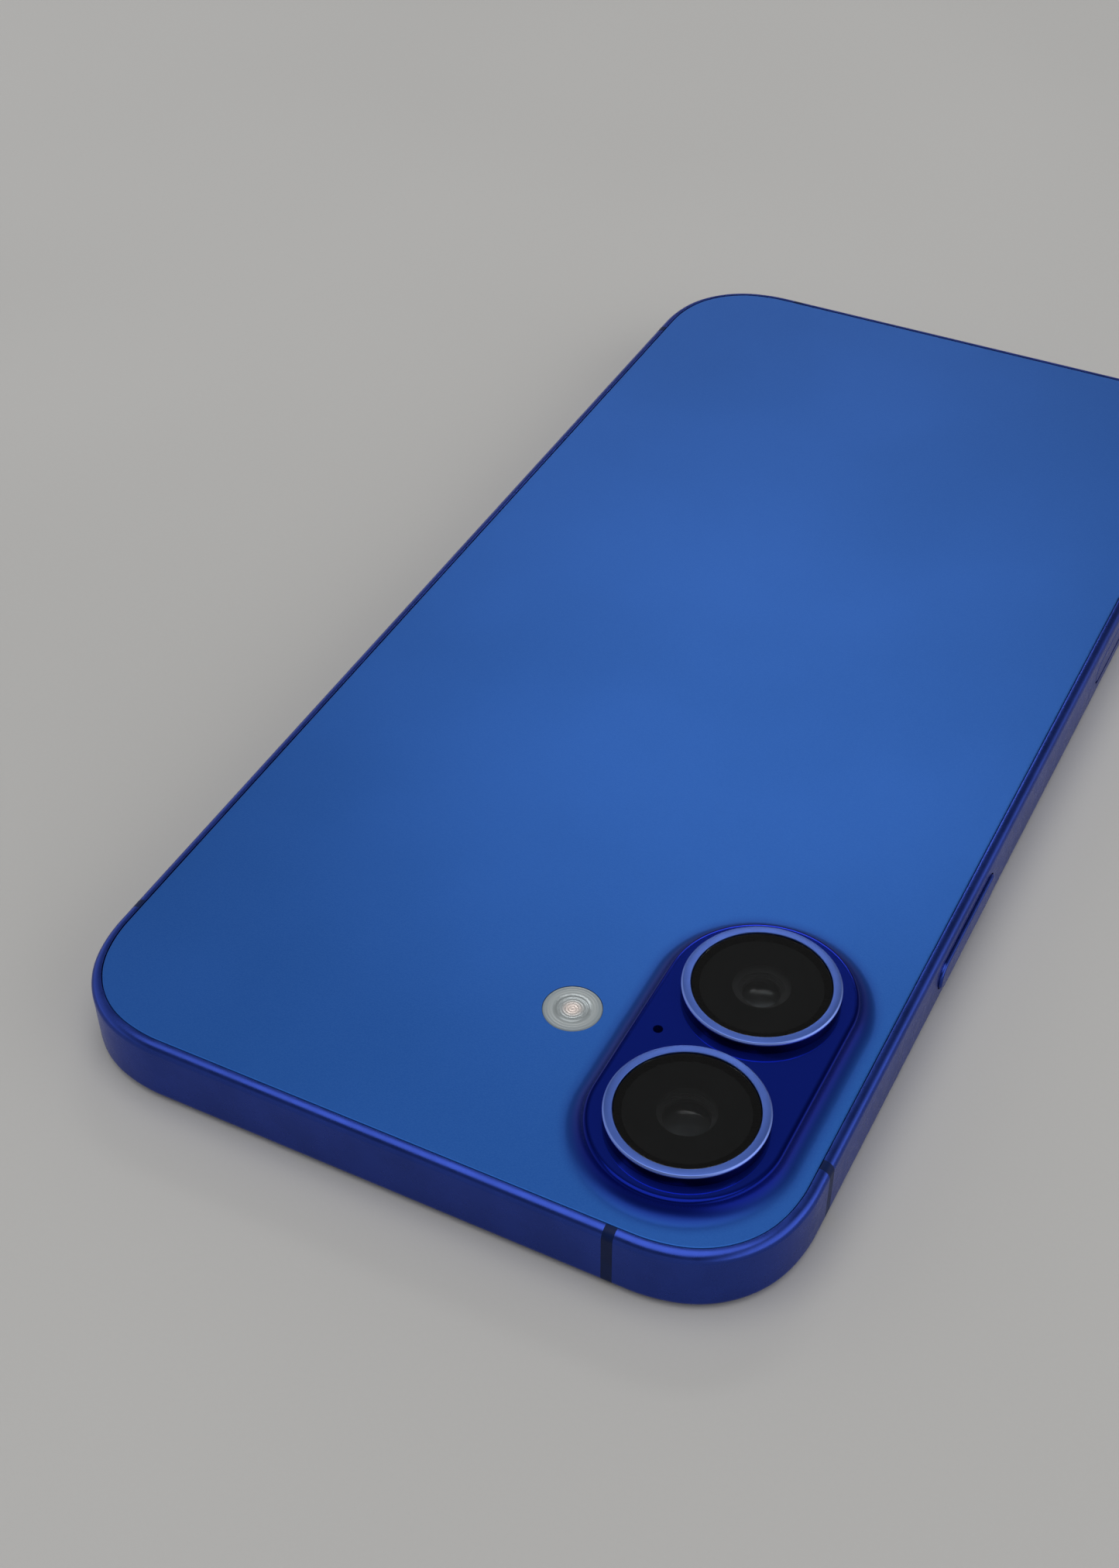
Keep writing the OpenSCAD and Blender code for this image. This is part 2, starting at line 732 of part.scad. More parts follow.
module back_glass() color(back_colour) difference() {
    union() {
        difference() {
            translate([0, 0, glass_in]) glass_sheet(glass_t, glass_edge);
            translate([lens_x, pair_y, glass_in - over])
                pill(lens_pitch + 2 * plateau_foot, 2 * plateau_foot, glass_t + 2 * over);
        }
        plateau();
    }
    translate([0, 0, glass_in - over]) {
        at_main() cylinder(r = ring_sleeve + slip, h = body_t);
        at_wide() cylinder(r = ring_sleeve + slip, h = body_t);
        at_flash() cylinder(r = flash_r, h = glass_t + 2 * over);
        translate([mic_x, pair_y, 0]) cylinder(r = mic_r, h = body_t);
    }
}

module back_seal() color(plastic_black) seal_ring(ledge_z);

module display_glass() color([0.02, 0.02, 0.03]) difference() {
    translate([0, 0, display_t]) mirror([0, 0, 1]) glass_sheet(display_t, display_edge);
    translate([0, half_l - glass_inset, -over])
        block([-earpiece_l / 2, -earpiece_w, 0], [earpiece_l / 2, over, display_t + 2 * over]);
}

module display_seal() color(plastic_black) difference() {
    seal_ring(display_t);
    earpiece_duct();
}

module display_panel() color([0.05, 0.05, 0.07]) difference() {
    slab(display_t, display_t + panel_t) outline(inner_inset);
    translate([0, window_y, 0]) pill_across(window_l, window_w, deck_z + over);
}

module earpiece_mesh() color([0.1, 0.1, 0.11]) translate([0, half_l - glass_inset, 0])
    block([slip - earpiece_l / 2, slip - earpiece_w, mesh_recess],
        [earpiece_l / 2 - slip, -slip, display_t + seal_t / 2]);

// ---------- Rear cameras, flash and microphone ----------

module lens_ring() color(ring_colour) rotate_extrude() polygon([
    [ring_bore, ring_foot], [ring_sleeve, ring_foot], [ring_sleeve, plateau_z], [ring_r, plateau_z],
    [ring_r, ring_top - ring_chamfer], [ring_r - ring_chamfer, ring_top],
    [cover_r + slip, ring_top], [cover_r + slip, cover_z], [ring_bore, cover_z]
]);

module main_lens_ring() at_main() lens_ring();
module wide_lens_ring() at_wide() lens_ring();

module lens_cover() color([0.05, 0.05, 0.06]) translate([0, 0, cover_z]) rotate_extrude() polygon([
    [0, 0], [cover_r, 0], [cover_r, cover_t - cover_chamfer], [cover_r - cover_chamfer, cover_t],
    [0, cover_t]
]);

module main_lens_cover() at_main() lens_cover();
module wide_lens_cover() at_wide() lens_cover();

function sensor_size(barrel_r) = concat(barrel_r * sensor_share, sensor_t);

// A square camera body with clipped corners, open on top for its barrel
module camera_housing(size, barrel_r) color([0.62, 0.62, 0.64]) difference() {
    edge = size / 2;
    cut = edge - camera_cut;
    slab(camera_z, bracket_z) polygon([
        [edge, -cut], [edge, cut], [cut, edge], [-cut, edge],
        [-edge, cut], [-edge, -cut], [-cut, -edge], [cut, -edge]
    ]);
    translate([0, 0, camera_z + camera_floor]) cylinder(r = barrel_r + barrel_gap, h = body_t);
    room = sensor_size(barrel_r) + 2 * [sensor_gap, sensor_gap, sensor_lift];
    translate([0, 0, camera_z + camera_floor + sensor_t / 2]) cube(room, center = true);
}

module main_camera_housing() at_main() camera_housing(main_size, main_barrel_r);
module wide_camera_housing() at_wide() camera_housing(wide_size, wide_barrel_r);

module camera_sensors() color([0.16, 0.13, 0.22]) translate([0, 0, camera_z + camera_floor + sensor_t / 2]) {
    at_main() cube(sensor_size(main_barrel_r), center = true);
    at_wide() cube(sensor_size(wide_barrel_r), center = true);
}

module lens_barrel(r) color([0.06, 0.06, 0.07]) {
    iris = r * iris_share;
    rotate_extrude() polygon([
        [r - barrel_wall, barrel_z], [r, barrel_z], [r, barrel_top - barrel_chamfer],
        [r - barrel_chamfer, barrel_top], [iris + iris_chamfer, barrel_top],
        [iris, barrel_top - iris_chamfer], [iris, barrel_top - barrel_wall],
        [r - barrel_wall, barrel_top - barrel_wall]
    ]);
}

module main_lens_barrel() at_main() lens_barrel(main_barrel_r);
module wide_lens_barrel() at_wide() lens_barrel(wide_barrel_r);

// A lens with a flat back and a crowned front
module lens_element(r, thickness, crown) rotate_extrude() intersection() {
    ball = (r * r + crown * crown) / (2 * crown);
    translate([0, thickness + crown - ball]) circle(ball, $fn = 360);
    square([r, ball]);
}

module lens_elements(barrel_r) color([0.30, 0.34, 0.42]) {
    room = (barrel_top - barrel_wall - barrel_z) / lens_count;
    for (i = [0 : lens_count - 1]) translate([0, 0, barrel_z + sink + i * room])
        lens_element(barrel_r - barrel_wall - slip, edge_share * room, crown_share * room);
}

module main_lens_elements() at_main() lens_elements(main_barrel_r);
module wide_lens_elements() at_wide() lens_elements(wide_barrel_r);

// A plate over both cameras, with arms to its screws and under the flash
module camera_bracket() color(steel) slab(bracket_z, bracket_top) difference() {
    union() {
        at_main() square(main_size, center = true);
        at_wide() translate([-wide_size / 2, -wide_size / 2]) square([wide_size, lens_pitch]);
        for (at = bracket_screws) {
            translate(at) circle(post_r);
            translate([min(at.x, lens_x), at.y - post_r]) square([abs(at.x - lens_x), 2 * post_r]);
        }
        translate([lens_x, pair_y - bracket_arm / 2]) square([flash_offset, bracket_arm]);
        at_flash() circle(flash_r + flash_flange);
    }
    at_main() circle(main_barrel_r + bracket_bore);
    at_wide() circle(wide_barrel_r + bracket_bore);
    for (at = bracket_screws) translate(at) circle(screw_r + slip);
}

// The flash lens has stepped rings on its inner face
module flash_lens() color([0.86, 0.86, 0.83]) at_flash() difference() {
    rotate_extrude() polygon([
        [0, flash_foot], [flash_r + flash_flange, flash_foot], [flash_r + flash_flange, glass_in],
        [flash_r - flash_gap, glass_in], [flash_r - flash_gap, body_t], [0, body_t]
    ]);
    for (i = [1 : groove_count]) translate([0, 0, flash_foot - eps]) difference() {
        cylinder(r = i * groove_pitch + groove_w, h = groove_d);
        cylinder(r1 = i * groove_pitch, r2 = i * groove_pitch + groove_d, h = groove_d + eps);
    }
}

module flash_module() color([0.93, 0.91, 0.80]) at_flash() difference() {
    slab(bracket_top, flash_foot) circle(flash_r + flash_flange - sink);
    translate([0, 0, flash_foot - bowl_d]) difference() {
        bowl_r = flash_r - bowl_edge;
        cylinder(r1 = bowl_r - bowl_slope, r2 = bowl_r, h = bowl_d + eps);
        slab(-over, emitter_h) square(emitter_w, center = true);
    }
}

module rear_microphone() color(can_colour) translate([mic_x, pair_y, bracket_top]) difference() {
    union() {
        slab(0, mic_t) square(mic_body, center = true);
        cylinder(r = gasket_r, h = mic_t + gasket_t);
    }
    translate([0, 0, mic_t / 2]) cylinder(r = mic_r, h = mic_t);
}

// ---------- Front sensors and earpiece ----------

module sensor_nose(x, r) translate([x, window_y, display_t + nose_gap]) cylinder(r = r, h = nose_h);

// A body in the deck's window whose ear rests on the deck
module front_module(x, size) translate([x, window_y, 0]) {
    slab(deck_z, deck_z + size.z) square([size.x, size.y], center = true);
    block([ear_inset - size.x / 2, -size.y / 2 - ear_reach, deck_top],
        [size.x / 2 - ear_inset, 0, deck_top + ear_t]);
}

module front_camera() color([0.12, 0.12, 0.14]) {
    sensor_nose(front_camera_x, front_camera_r);
    front_module(front_camera_x, front_camera_body);
}

module face_sensor() color([0.20, 0.20, 0.23]) {
    for (i = [1, 2]) sensor_nose(front_camera_x + i * sensor_pitch, sensor_r);
    left = front_camera_x + front_camera_body.x / 2 + pack_gap;
    front_module(left + sensor_body.x / 2, sensor_body);
}

module earpiece_speaker() color(speaker_colour) difference() {
    low = window_y + (deck_window.y + sink) / 2;
    block([-earpiece_body_l / 2, low, deck_top],
        [earpiece_body_l / 2, half_l - inner_inset, deck_top + earpiece_body_h]);
    block([-earpiece_l / 2, low + earpiece_wall, deck_z], [earpiece_l / 2, half_l, earpiece_duct_z]);
}

// ---------- Keys ----------

// One key: cap, two stems through the band and the clip that holds them
module key(length, height, proud, travel) color(band_colour) {
    cap_foot = pocket_d - travel - key_floor;
    stem_foot = wall + clip_gap + clip_t;
    translate([0, 0, -cap_foot]) pill(length, height, cap_foot + proud, key_edge);
    for (s = [-1, 1]) translate([0, s * stem_offset(length), -stem_foot])
        cylinder(r = stem_r, h = stem_foot - cap_foot + sink);
    translate([0, 0, clip_t / 2 - stem_foot])
        cube([clip_w, 2 * stem_offset(length) + clip_w, clip_t], center = true);
}

module side_key() on_left(side_key_y) key(side_key_l, key_h, key_proud, key_travel);
module camera_control() on_left(control_y) key(control_l, control_h, 0, control_travel);
module action_key() on_right(action_y) key(action_key_l, key_h, key_proud, key_travel);
module volume_up_key() on_right(volume_up_y) key(volume_key_l, key_h, key_proud, key_travel);
module volume_down_key() on_right(volume_down_y) key(volume_key_l, key_h, key_proud, key_travel);

module key_switch() translate([0, 0, -switch_z - switch_t]) {
    slab(0, switch_t - dome_h) square(switch_body, center = true);
    cylinder(r = dome_r, h = switch_t);
}

module key_switches() color([0.80, 0.78, 0.70]) {
    for (key = left_keys) on_left(key[0]) key_switch();
    for (key = right_keys) on_right(key[0]) key_switch();
}

// A strip behind the switches of each side, from one end key to the other
module behind_switches(low, high, depth, thickness) {
    x = half_w - depth;
    for (side = [[1, control_y, side_key_y], [0, volume_down_y, action_y]]) mirror([side[0], 0, 0])
        block([x - thickness, side[1] - strip_margin, low], [x, side[2] + strip_margin, high]);
}

module key_flexes() color(flex_colour)
    behind_switches(mid_z - strip_h / 2, mid_z + strip_h / 2, switch_z + switch_t, ribbon_t);

module key_braces() color(steel)
    behind_switches(deck_top, mid_z + brace_rise, switch_z + switch_t + ribbon_t, brace_t);

// ---------- Card tray ----------

module sim_tray() color(band_colour) on_right(tray_y) difference() {
    card_end = -tray_face_t - tray_neck;
    union() {
        translate([0, 0, -tray_face_t]) pill(tray_l, tray_h, tray_face_t, tray_edge);
        block([-tray_t / 2, -tray_plate_l / 2, -tray_face_t - tray_plate_d],
            [tray_t / 2, tray_plate_l / 2, sink - tray_face_t]);
    }
    block([tray_floor - tray_t / 2, -card_l / 2, card_end - card_w], [tray_t, card_l / 2, card_end]);
    block([-tray_t, tray_rim - card_l / 2, card_end - card_w + tray_rim],
        [tray_t, card_l / 2 - tray_rim, card_end - tray_rim]);
    translate([0, eject_y, -tray_face_t - over]) cylinder(r = eject_r, h = tray_face_t + 2 * over);
}

module sim_reader() color(steel) on_right(tray_y) difference() {
    mouth = -inner_inset;
    block([-cage_h / 2, -cage_l / 2, mouth - cage_d], [cage_h / 2, cage_l / 2, mouth]);
    block([cage_wall - cage_h / 2, cage_wall - cage_l / 2, mouth - cage_d + cage_wall],
        [cage_h / 2 - cage_wall, cage_l / 2 - cage_wall, mouth + over]);
}

// ---------- Battery ----------

module battery() color([0.09, 0.09, 0.10])
    translate([(cell_x1 - bay_edge) / 2, (cell_y0 + cell_y1) / 2, 0])
        slab(cell_z, cell_top) rounded(cell_x1 + bay_edge, cell_y1 - cell_y0, cell_r);

module battery_tape() color([0.85, 0.85, 0.80]) for (share = [0.2, 0.5, 0.8])
    translate([share * cell_x1 - (1 - share) * bay_edge - tape_w / 2, cell_y0 + tape_end, deck_top])
        cube([tape_w, cell_y1 - cell_y0 - 2 * tape_end, tape_t]);

module battery_flex() color(flex_colour) translate([0, battery_plug_y, board_top]) {
    rise = battery_ribbon_rise;
    fold = board_x0 + battery_fold;
    block([cell_x1, 0, rise], [fold, battery_ribbon_w, rise + ribbon_t]);
    block([fold - ribbon_t, 0, 0], [fold, battery_ribbon_w, rise + ribbon_t]);
    block([fold - ribbon_t, 0, 0], [board_x0 + battery_plug_x[2], battery_ribbon_w, ribbon_t]);
    block([board_x0 + battery_plug_x[0], flex_margin, sink],
        [board_x0 + battery_plug_x[1], battery_ribbon_w - flex_margin, plug_h]);
}

// ---------- Logic board ----------

module board_outline(y0, y1) translate([board_x0, y0]) square([board_w, y1 - y0]);

module board_notch(x, y) translate([x, y]) square([2 * notch.x, notch.y], center = true);

module logic_board() color(board_colour) difference() {
    union() {
        slab(board_z, board_top) difference() {
            board_outline(board_y0, board_y1);
            board_notch(board_x0, board_y1 - 2 * notch.y);
            board_notch(bay_edge, upper_y1 + 1.2 * notch.y);
            board_notch(board_x0, board_y0 + 2 * notch.y);
        }
        slab(board_top - eps, upper_z) difference() {
            board_outline(upper_y0, upper_y1);
            translate([board_x0 + interposer_w, upper_y0 + interposer_w])
                square([board_w - 2 * interposer_w, upper_l - 2 * interposer_w]);
        }
        slab(upper_z - eps, upper_top) board_outline(upper_y0, upper_y1);
    }
    for (at = board_screws) translate([at.x, at.y, board_z - over])
        cylinder(r = screw_r + slip, h = board_t + 2 * over);
}

module chips(shares, length) for (chip = shares)
    translate([chip[0] * board_w, chip[1] * length, 0]) cube([chip[2] * board_w, chip[3] * length, chip_h]);

module board_chips() color([0.11, 0.11, 0.12]) {
    translate([board_x0, board_y0, board_top]) chips(low_chips, lower_l);
    translate([board_x0, upper_y0, upper_top]) chips(high_chips, upper_l);
}

// Pressed cans over the chips of the upper board
module board_shields() color(steel) translate([board_x0, upper_y0, upper_top])
    for (span = cans * upper_l) difference() {
        block([can_margin, span[0], 0], [board_w - can_margin, span[1], can_h]);
        block([can_margin + can_wall, span[0] + can_wall, -over],
            [board_w - can_margin - can_wall, span[1] - can_wall, can_h - can_roof]);
    }

// Folds from behind the panel up through the deck and back onto the board
module display_flex() color(flex_colour) translate([flex_x0, board_y1, 0]) {
    panel_z = display_t + panel_t;
    block([0, -flex_reach, panel_z], [flex_w, flex_fold, deck_z]);
    block([0, flex_fold - ribbon_t, panel_z], [flex_w, flex_fold, board_top + ribbon_t]);
    block([0, -flex_margin - plug_y, board_top], [flex_w, flex_fold, board_top + ribbon_t]);
    block([flex_margin, -plug_y, board_top + sink],
        [flex_w - flex_margin, plug_d - plug_y, board_top + plug_h]);
}

// ---------- Charging ----------

// A flat winding made of half turns on two centres, each half a pitch tighter than the last
module charging_coil() color(copper) for (half = [0 : 2 * coil_turns - 1]) {
    odd = half % 2;
    r = coil_r - half * coil_pitch / 2;
    rotate([0, 0, 180 * odd]) translate([odd * coil_pitch / 2, 0, glass_in - coil_t])
        rotate_extrude(angle = 180) translate([r - coil_wire, 0]) square([coil_wire, coil_t]);
}

module coil_shield() color([0.20, 0.20, 0.21])
    slab(glass_in - magnet_t, glass_in - coil_t) difference() {
        circle(coil_r + sheet_margin);
        circle(sheet_hole);
    }

module alignment_magnets() color([0.55, 0.56, 0.58]) translate([0, 0, glass_in - magnet_t]) {
    step = 360 / magnet_count;
    for (i = [0 : magnet_count - 1]) rotate([0, 0, i * step])
        rotate_extrude(angle = step - magnet_gap) translate([magnet_r, 0]) square([magnet_w, magnet_t]);
    translate([-bar.x / 2, -magnet_r - magnet_w - bar_offset, 0]) cube([bar.x, bar.y, magnet_t]);
}

// ---------- Haptic motor, loudspeaker and microphones ----------

// The space of the haptic motor, set in by a skin on all sides and by an end gap along X
module haptic_block(skin, end_gap) {
    low = [bay_x, -bay_front, deck_top];
    high = [haptic_x1, -foot_y, foot_top];
    inset = [skin + end_gap, skin, skin];
    block(low + inset, high - inset);
}

module haptic_case() color(steel) difference() {
    haptic_block(0, 0);
    haptic_block(case_wall, 0);
}

module haptic_mass() color([0.42, 0.41, 0.40]) haptic_block(case_wall + mass_gap, haptic_travel);

// A box with a recess for the cone, a chamber under it and a duct to the sound holes
module loudspeaker() color(speaker_colour) difference() {
    front = mesh_t + wall - half_l;
    duct_x = -bay_x - duct_l;
    union() {
        slab(deck_top, foot_top) intersection() {
            outline(inner_inset);
            translate([-bay_edge, -bay_front]) square([bay_edge - bay_x, bay_front - foot_y]);
        }
        block([duct_x, front, mid_z - duct_h / 2], [-bay_x, over - bay_front, mid_z + duct_h / 2]);
    }
    block([duct_x + duct_wall, -half_l, mid_z + duct_wall - duct_h / 2],
        [-bay_x - duct_wall, cone_at.y, mid_z + duct_h / 2 - duct_wall]);
    translate([cone_at.x, cone_at.y, 0]) {
        translate([0, 0, mid_z + duct_wall - duct_h / 2])
            pill_across(cone_l - 2 * chamber_edge, cone_w - 2 * chamber_edge, foot_h);
        translate([0, 0, cone_z]) pill_across(cone_l, cone_w, foot_h);
    }
}

// The cone hangs in the speaker's recess by a raised surround
module speaker_cone() color([0.25, 0.25, 0.27]) translate([cone_at.x, cone_at.y, cone_z]) {
    pill_across(cone_l - 2 * slip, cone_w - 2 * slip, cone_t);
    pill_across(cone_l - cone_border, cone_w - cone_border, cone_rise, cone_edge);
}

module sound_meshes() color([0.30, 0.30, 0.32])
    for (side = [[0, mic_holes], [1, speaker_holes]]) mirror([side[0], 0, 0])
        translate([first_hole_x - mesh_margin, wall - half_l, mid_z - mesh_margin])
            cube([(side[1] - 1) * hole_pitch + 2 * mesh_margin, mesh_t, 2 * mesh_margin]);

module bottom_microphones() color(can_colour) for (i = [0, mic_holes - 1])
    translate([first_hole_x + i * hole_pitch, wall + mesh_t - half_l, mid_z]) difference() {
        translate([0, mic_can.y / 2, 0]) cube(mic_can, center = true);
        translate([0, mic_can.y / 2, 0]) rotate([90, 0, 0]) cylinder(r = mic_r, h = mic_can.y);
    }

// ---------- Charging socket ----------

// What is drawn on z = 0 stands on the socket's floor and points out of its mouth
module in_socket() on_bottom(0) translate([0, 0, -socket_recess - socket_d]) children();

module usb_shell() color(steel) in_socket() difference() {
    translate([0, 0, -socket_wall]) pill(shell_w, shell_h, socket_d + socket_wall);
    pill(socket_w, socket_h, socket_d + over);
}

module usb_tongue() color(plastic_black) in_socket() {
    translate([0, 0, tongue_base.z / 2]) cube(tongue_base, center = true);
    translate([0, 0, tongue_l / 2]) cube([tongue_t, tongue_w, tongue_l], center = true);
}

module usb_contacts() color(gold) on_bottom(0) for (i = [0 : contact_count - 1], s = [-1, 1])
    translate([s * (tongue_t + contact.x) / 2, (i - (contact_count - 1) / 2) * contact_pitch, contact_z])
        cube(contact, center = true);

// Holds the shell, with a wing on each side for a screw
module usb_body() color(plastic_black) difference() {
    inner = inner_inset - half_l;
    wing = foot_screw_x + wing_reach;
    union() {
        block([-body_w_inner, inner, deck_top], [body_w_inner, -body_back, mid_z + shell_h / 2 + body_roof]);
        block([-wing, inner, deck_top], [wing, inner + wing_d, mid_z + wing_rise]);
    }
    for (s = [-1, 1]) on_bottom(s * foot_screw_x) translate([0, 0, -inner_inset - wing_d - over])
        cylinder(r = foot_shank_r + slip, h = wing_d + 2 * over);
    in_socket() translate([0, 0, -socket_wall]) pill(shell_w + 2 * eps, shell_h + 2 * eps, socket_d + 2 * over);
}

// Runs from the socket round the battery's foot to a connector under the board
module dock_flex() color(flex_colour) {
    turn_y = pack_gap - foot_y;
    slab(deck_top, deck_top + ribbon_t) {
        translate([-dock_ribbon_w / 2, -body_back])
            square([dock_ribbon_w, body_back + turn_y + dock_turn]);
        translate([-dock_ribbon_w / 2, turn_y])
            square([dock_ribbon_w / 2 + dock_branch_x + dock_branch_w, dock_turn]);
        translate([dock_branch_x, turn_y]) square([dock_branch_w, board_y0 + dock_under - turn_y]);
    }
    translate([dock_branch_x + dock_branch_w / 2, board_y0 + dock_under / 2, 0])
        slab(deck_top + sink, board_z) square(dock_plug, center = true);
}

// ---------- Top corner and fasteners ----------

module carrier_corner(d) intersection() {
    outline(inner_inset + d);
    translate([board_x0 + d, board_y1 + d] + carrier_offset) square([half_w, half_l]);
}

// A hollow plastic carrier for the upper antennas
module antenna_carrier() color([0.17, 0.17, 0.18]) difference() {
    slab(deck_top, deck_top + carrier_h) carrier_corner(0);
    slab(deck_top - over, deck_top + carrier_h - carrier_roof) carrier_corner(carrier_wall);
}

// A small screw that stands on z = 0 and points down, with a six-lobed drive
module screw(head_r, head_h, shank_r, length) difference() {
    union() {
        cylinder(r = head_r, h = head_h);
        translate([0, 0, -length]) cylinder(r = shank_r, h = length + head_h / 2);
    }
    for (turn = [0, 60, 120]) rotate([0, 0, turn]) translate([0, 0, head_h])
        cube([drive[0] * head_r, drive[1] * head_r, 2 * drive[2] * head_h], center = true);
}

module foot_screws() color(band_colour) for (s = [-1, 1]) on_bottom(s * foot_screw_x)
    translate([0, 0, -foot_recess - foot_head_h]) screw(foot_head_r, foot_head_h, foot_shank_r, foot_shank_l);

module inner_screws() color(steel) {
    for (at = board_screws) translate([at.x, at.y, board_top])
        screw(screw_head_r, screw_head_h, screw_r, board_top - deck_z - sink);
    for (at = bracket_screws) translate([at.x, at.y, bracket_top])
        screw(screw_head_r, screw_head_h, screw_r, bracket_screw_l);
}

frame();
antenna_breaks();
back_glass();
back_seal();
display_glass();
display_panel();
display_seal();
earpiece_mesh();
main_lens_ring();
wide_lens_ring();
main_lens_cover();
wide_lens_cover();
main_camera_housing();
wide_camera_housing();
main_lens_barrel();
wide_lens_barrel();
main_lens_elements();
wide_lens_elements();
camera_sensors();
camera_bracket();
flash_lens();
flash_module();
rear_microphone();
front_camera();
face_sensor();
earpiece_speaker();
side_key();
camera_control();
action_key();
volume_up_key();
volume_down_key();
key_switches();
key_flexes();
key_braces();
sim_tray();
sim_reader();
battery();
battery_tape();
battery_flex();
logic_board();
board_chips();
board_shields();
display_flex();
charging_coil();
coil_shield();
alignment_magnets();
haptic_case();
haptic_mass();
loudspeaker();
speaker_cone();
sound_meshes();
bottom_microphones();
usb_shell();
usb_tongue();
usb_contacts();
usb_body();
dock_flex();
antenna_carrier();
foot_screws();
inner_screws();
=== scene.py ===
"""Looks of the handset: smooth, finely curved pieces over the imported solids, and every finish.

Sizes are in millimetres, as in the solids; MM turns them into metres. The display lies on the
table, the back glass faces up (+Z) and the rear cameras are at the +Y end of the -X side.
"""

import json
import math
from contextlib import contextmanager

import bmesh
import bpy
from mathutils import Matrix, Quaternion, Vector

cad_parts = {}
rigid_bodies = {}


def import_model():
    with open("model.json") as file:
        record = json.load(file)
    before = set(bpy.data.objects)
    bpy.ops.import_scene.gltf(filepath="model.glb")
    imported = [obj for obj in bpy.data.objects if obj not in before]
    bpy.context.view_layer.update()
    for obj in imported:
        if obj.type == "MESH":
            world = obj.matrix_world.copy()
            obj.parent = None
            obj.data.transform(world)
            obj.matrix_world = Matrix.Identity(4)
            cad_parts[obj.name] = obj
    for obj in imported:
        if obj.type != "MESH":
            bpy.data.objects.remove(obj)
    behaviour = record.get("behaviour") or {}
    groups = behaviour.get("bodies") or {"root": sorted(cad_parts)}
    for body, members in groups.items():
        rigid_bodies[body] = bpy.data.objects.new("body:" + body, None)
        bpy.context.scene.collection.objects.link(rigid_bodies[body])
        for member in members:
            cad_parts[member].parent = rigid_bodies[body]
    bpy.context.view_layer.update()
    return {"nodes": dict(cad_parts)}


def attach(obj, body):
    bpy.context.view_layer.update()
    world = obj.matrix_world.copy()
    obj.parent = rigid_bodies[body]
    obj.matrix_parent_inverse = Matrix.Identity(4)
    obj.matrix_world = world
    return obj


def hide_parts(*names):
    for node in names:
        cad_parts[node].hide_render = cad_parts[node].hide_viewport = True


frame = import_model()

MM = 0.001
JOIN = 2e-7
OVER = 1.0  # how far a cutter starts outside what it cuts

# Body, as in the solids
HALF_W, HALF_L, BODY_T = 77.8 / 2, 160.9 / 2, 7.8
CORNER_R, CORNER_EASE = 11.6, 5.5
LEAN = (0.96, 0.28)
EASE_TURN = math.degrees(math.atan2(LEAN[1], LEAN[0]))
CORNER_TURN = 90 - 2 * EASE_TURN
CORNER_IN = CORNER_R + (1 - LEAN[0]) * CORNER_EASE
CORNER = (HALF_W - CORNER_IN, HALF_L - CORNER_IN)
EASE_SIDE = (CORNER[0] - CORNER_EASE * LEAN[0], CORNER[1] - CORNER_EASE * LEAN[1])
EASE_END = (CORNER[0] - CORNER_EASE * LEAN[1], CORNER[1] - CORNER_EASE * LEAN[0])
EDGE_R, WALL, LIP, SEAM = 1.0, 2.2, 1.12, 0.08
DISPLAY_PROUD, DISPLAY_T, SEAL_T = 0.15, 0.75, 0.1
GLASS_T, GLASS_EDGE, GLASS_INSET, GLASS_RIM = 0.75, 0.12, LIP + SEAM, 1.0
GLASS_IN = BODY_T - GLASS_T
MID_Z = BODY_T / 2
BREAK_W, SIDE_BREAK, END_BREAK = 1.15, 16.05, 23.6

# Rear cameras and flash
LENS_X = 13.95 - HALF_W
MAIN_Y = HALF_L - 14.19
LENS_PITCH = 17.63
WIDE_Y = MAIN_Y - LENS_PITCH
PAIR_Y = (MAIN_Y + WIDE_Y) / 2
PLATEAU_R, SHOULDER_R, HOLLOW_R = 9.3, 0.45, 1.8
PLATEAU_Z = BODY_T + (1 - LEAN[1]) * (SHOULDER_R + HOLLOW_R)
PLATEAU_FOOT = PLATEAU_R + LEAN[0] * (SHOULDER_R + HOLLOW_R)
RING_R, RING_TOP, RING_SLEEVE, RING_BORE, RING_CHAMFER = 7.9, PLATEAU_Z + 1.38, 7.55, 6.1, 0.14
COVER_R, COVER_T, CLEAR_R = 6.9, 0.5, 2.9
COVER_Z = RING_TOP - 0.15 - COVER_T
SLIP = 0.06
BARREL_FOOT, BARREL_TOP, BARREL_WALL, ELEMENTS = 3.55, 9.65, 0.7, 4
MAIN_BARREL_R, WIDE_BARREL_R, IRIS_SHARE = 5.0, 4.1, 0.45
FLASH = (LENS_X + 16.29, PAIR_Y)
FLASH_R, FLASH_FLANGE, FLASH_FOOT = 3.03, 0.5, GLASS_IN - 0.35
FRESNEL_PITCH, FRESNEL_RINGS = 0.2, 13
MIC = (LENS_X + 7.05, PAIR_Y)
MIC_R = 0.5

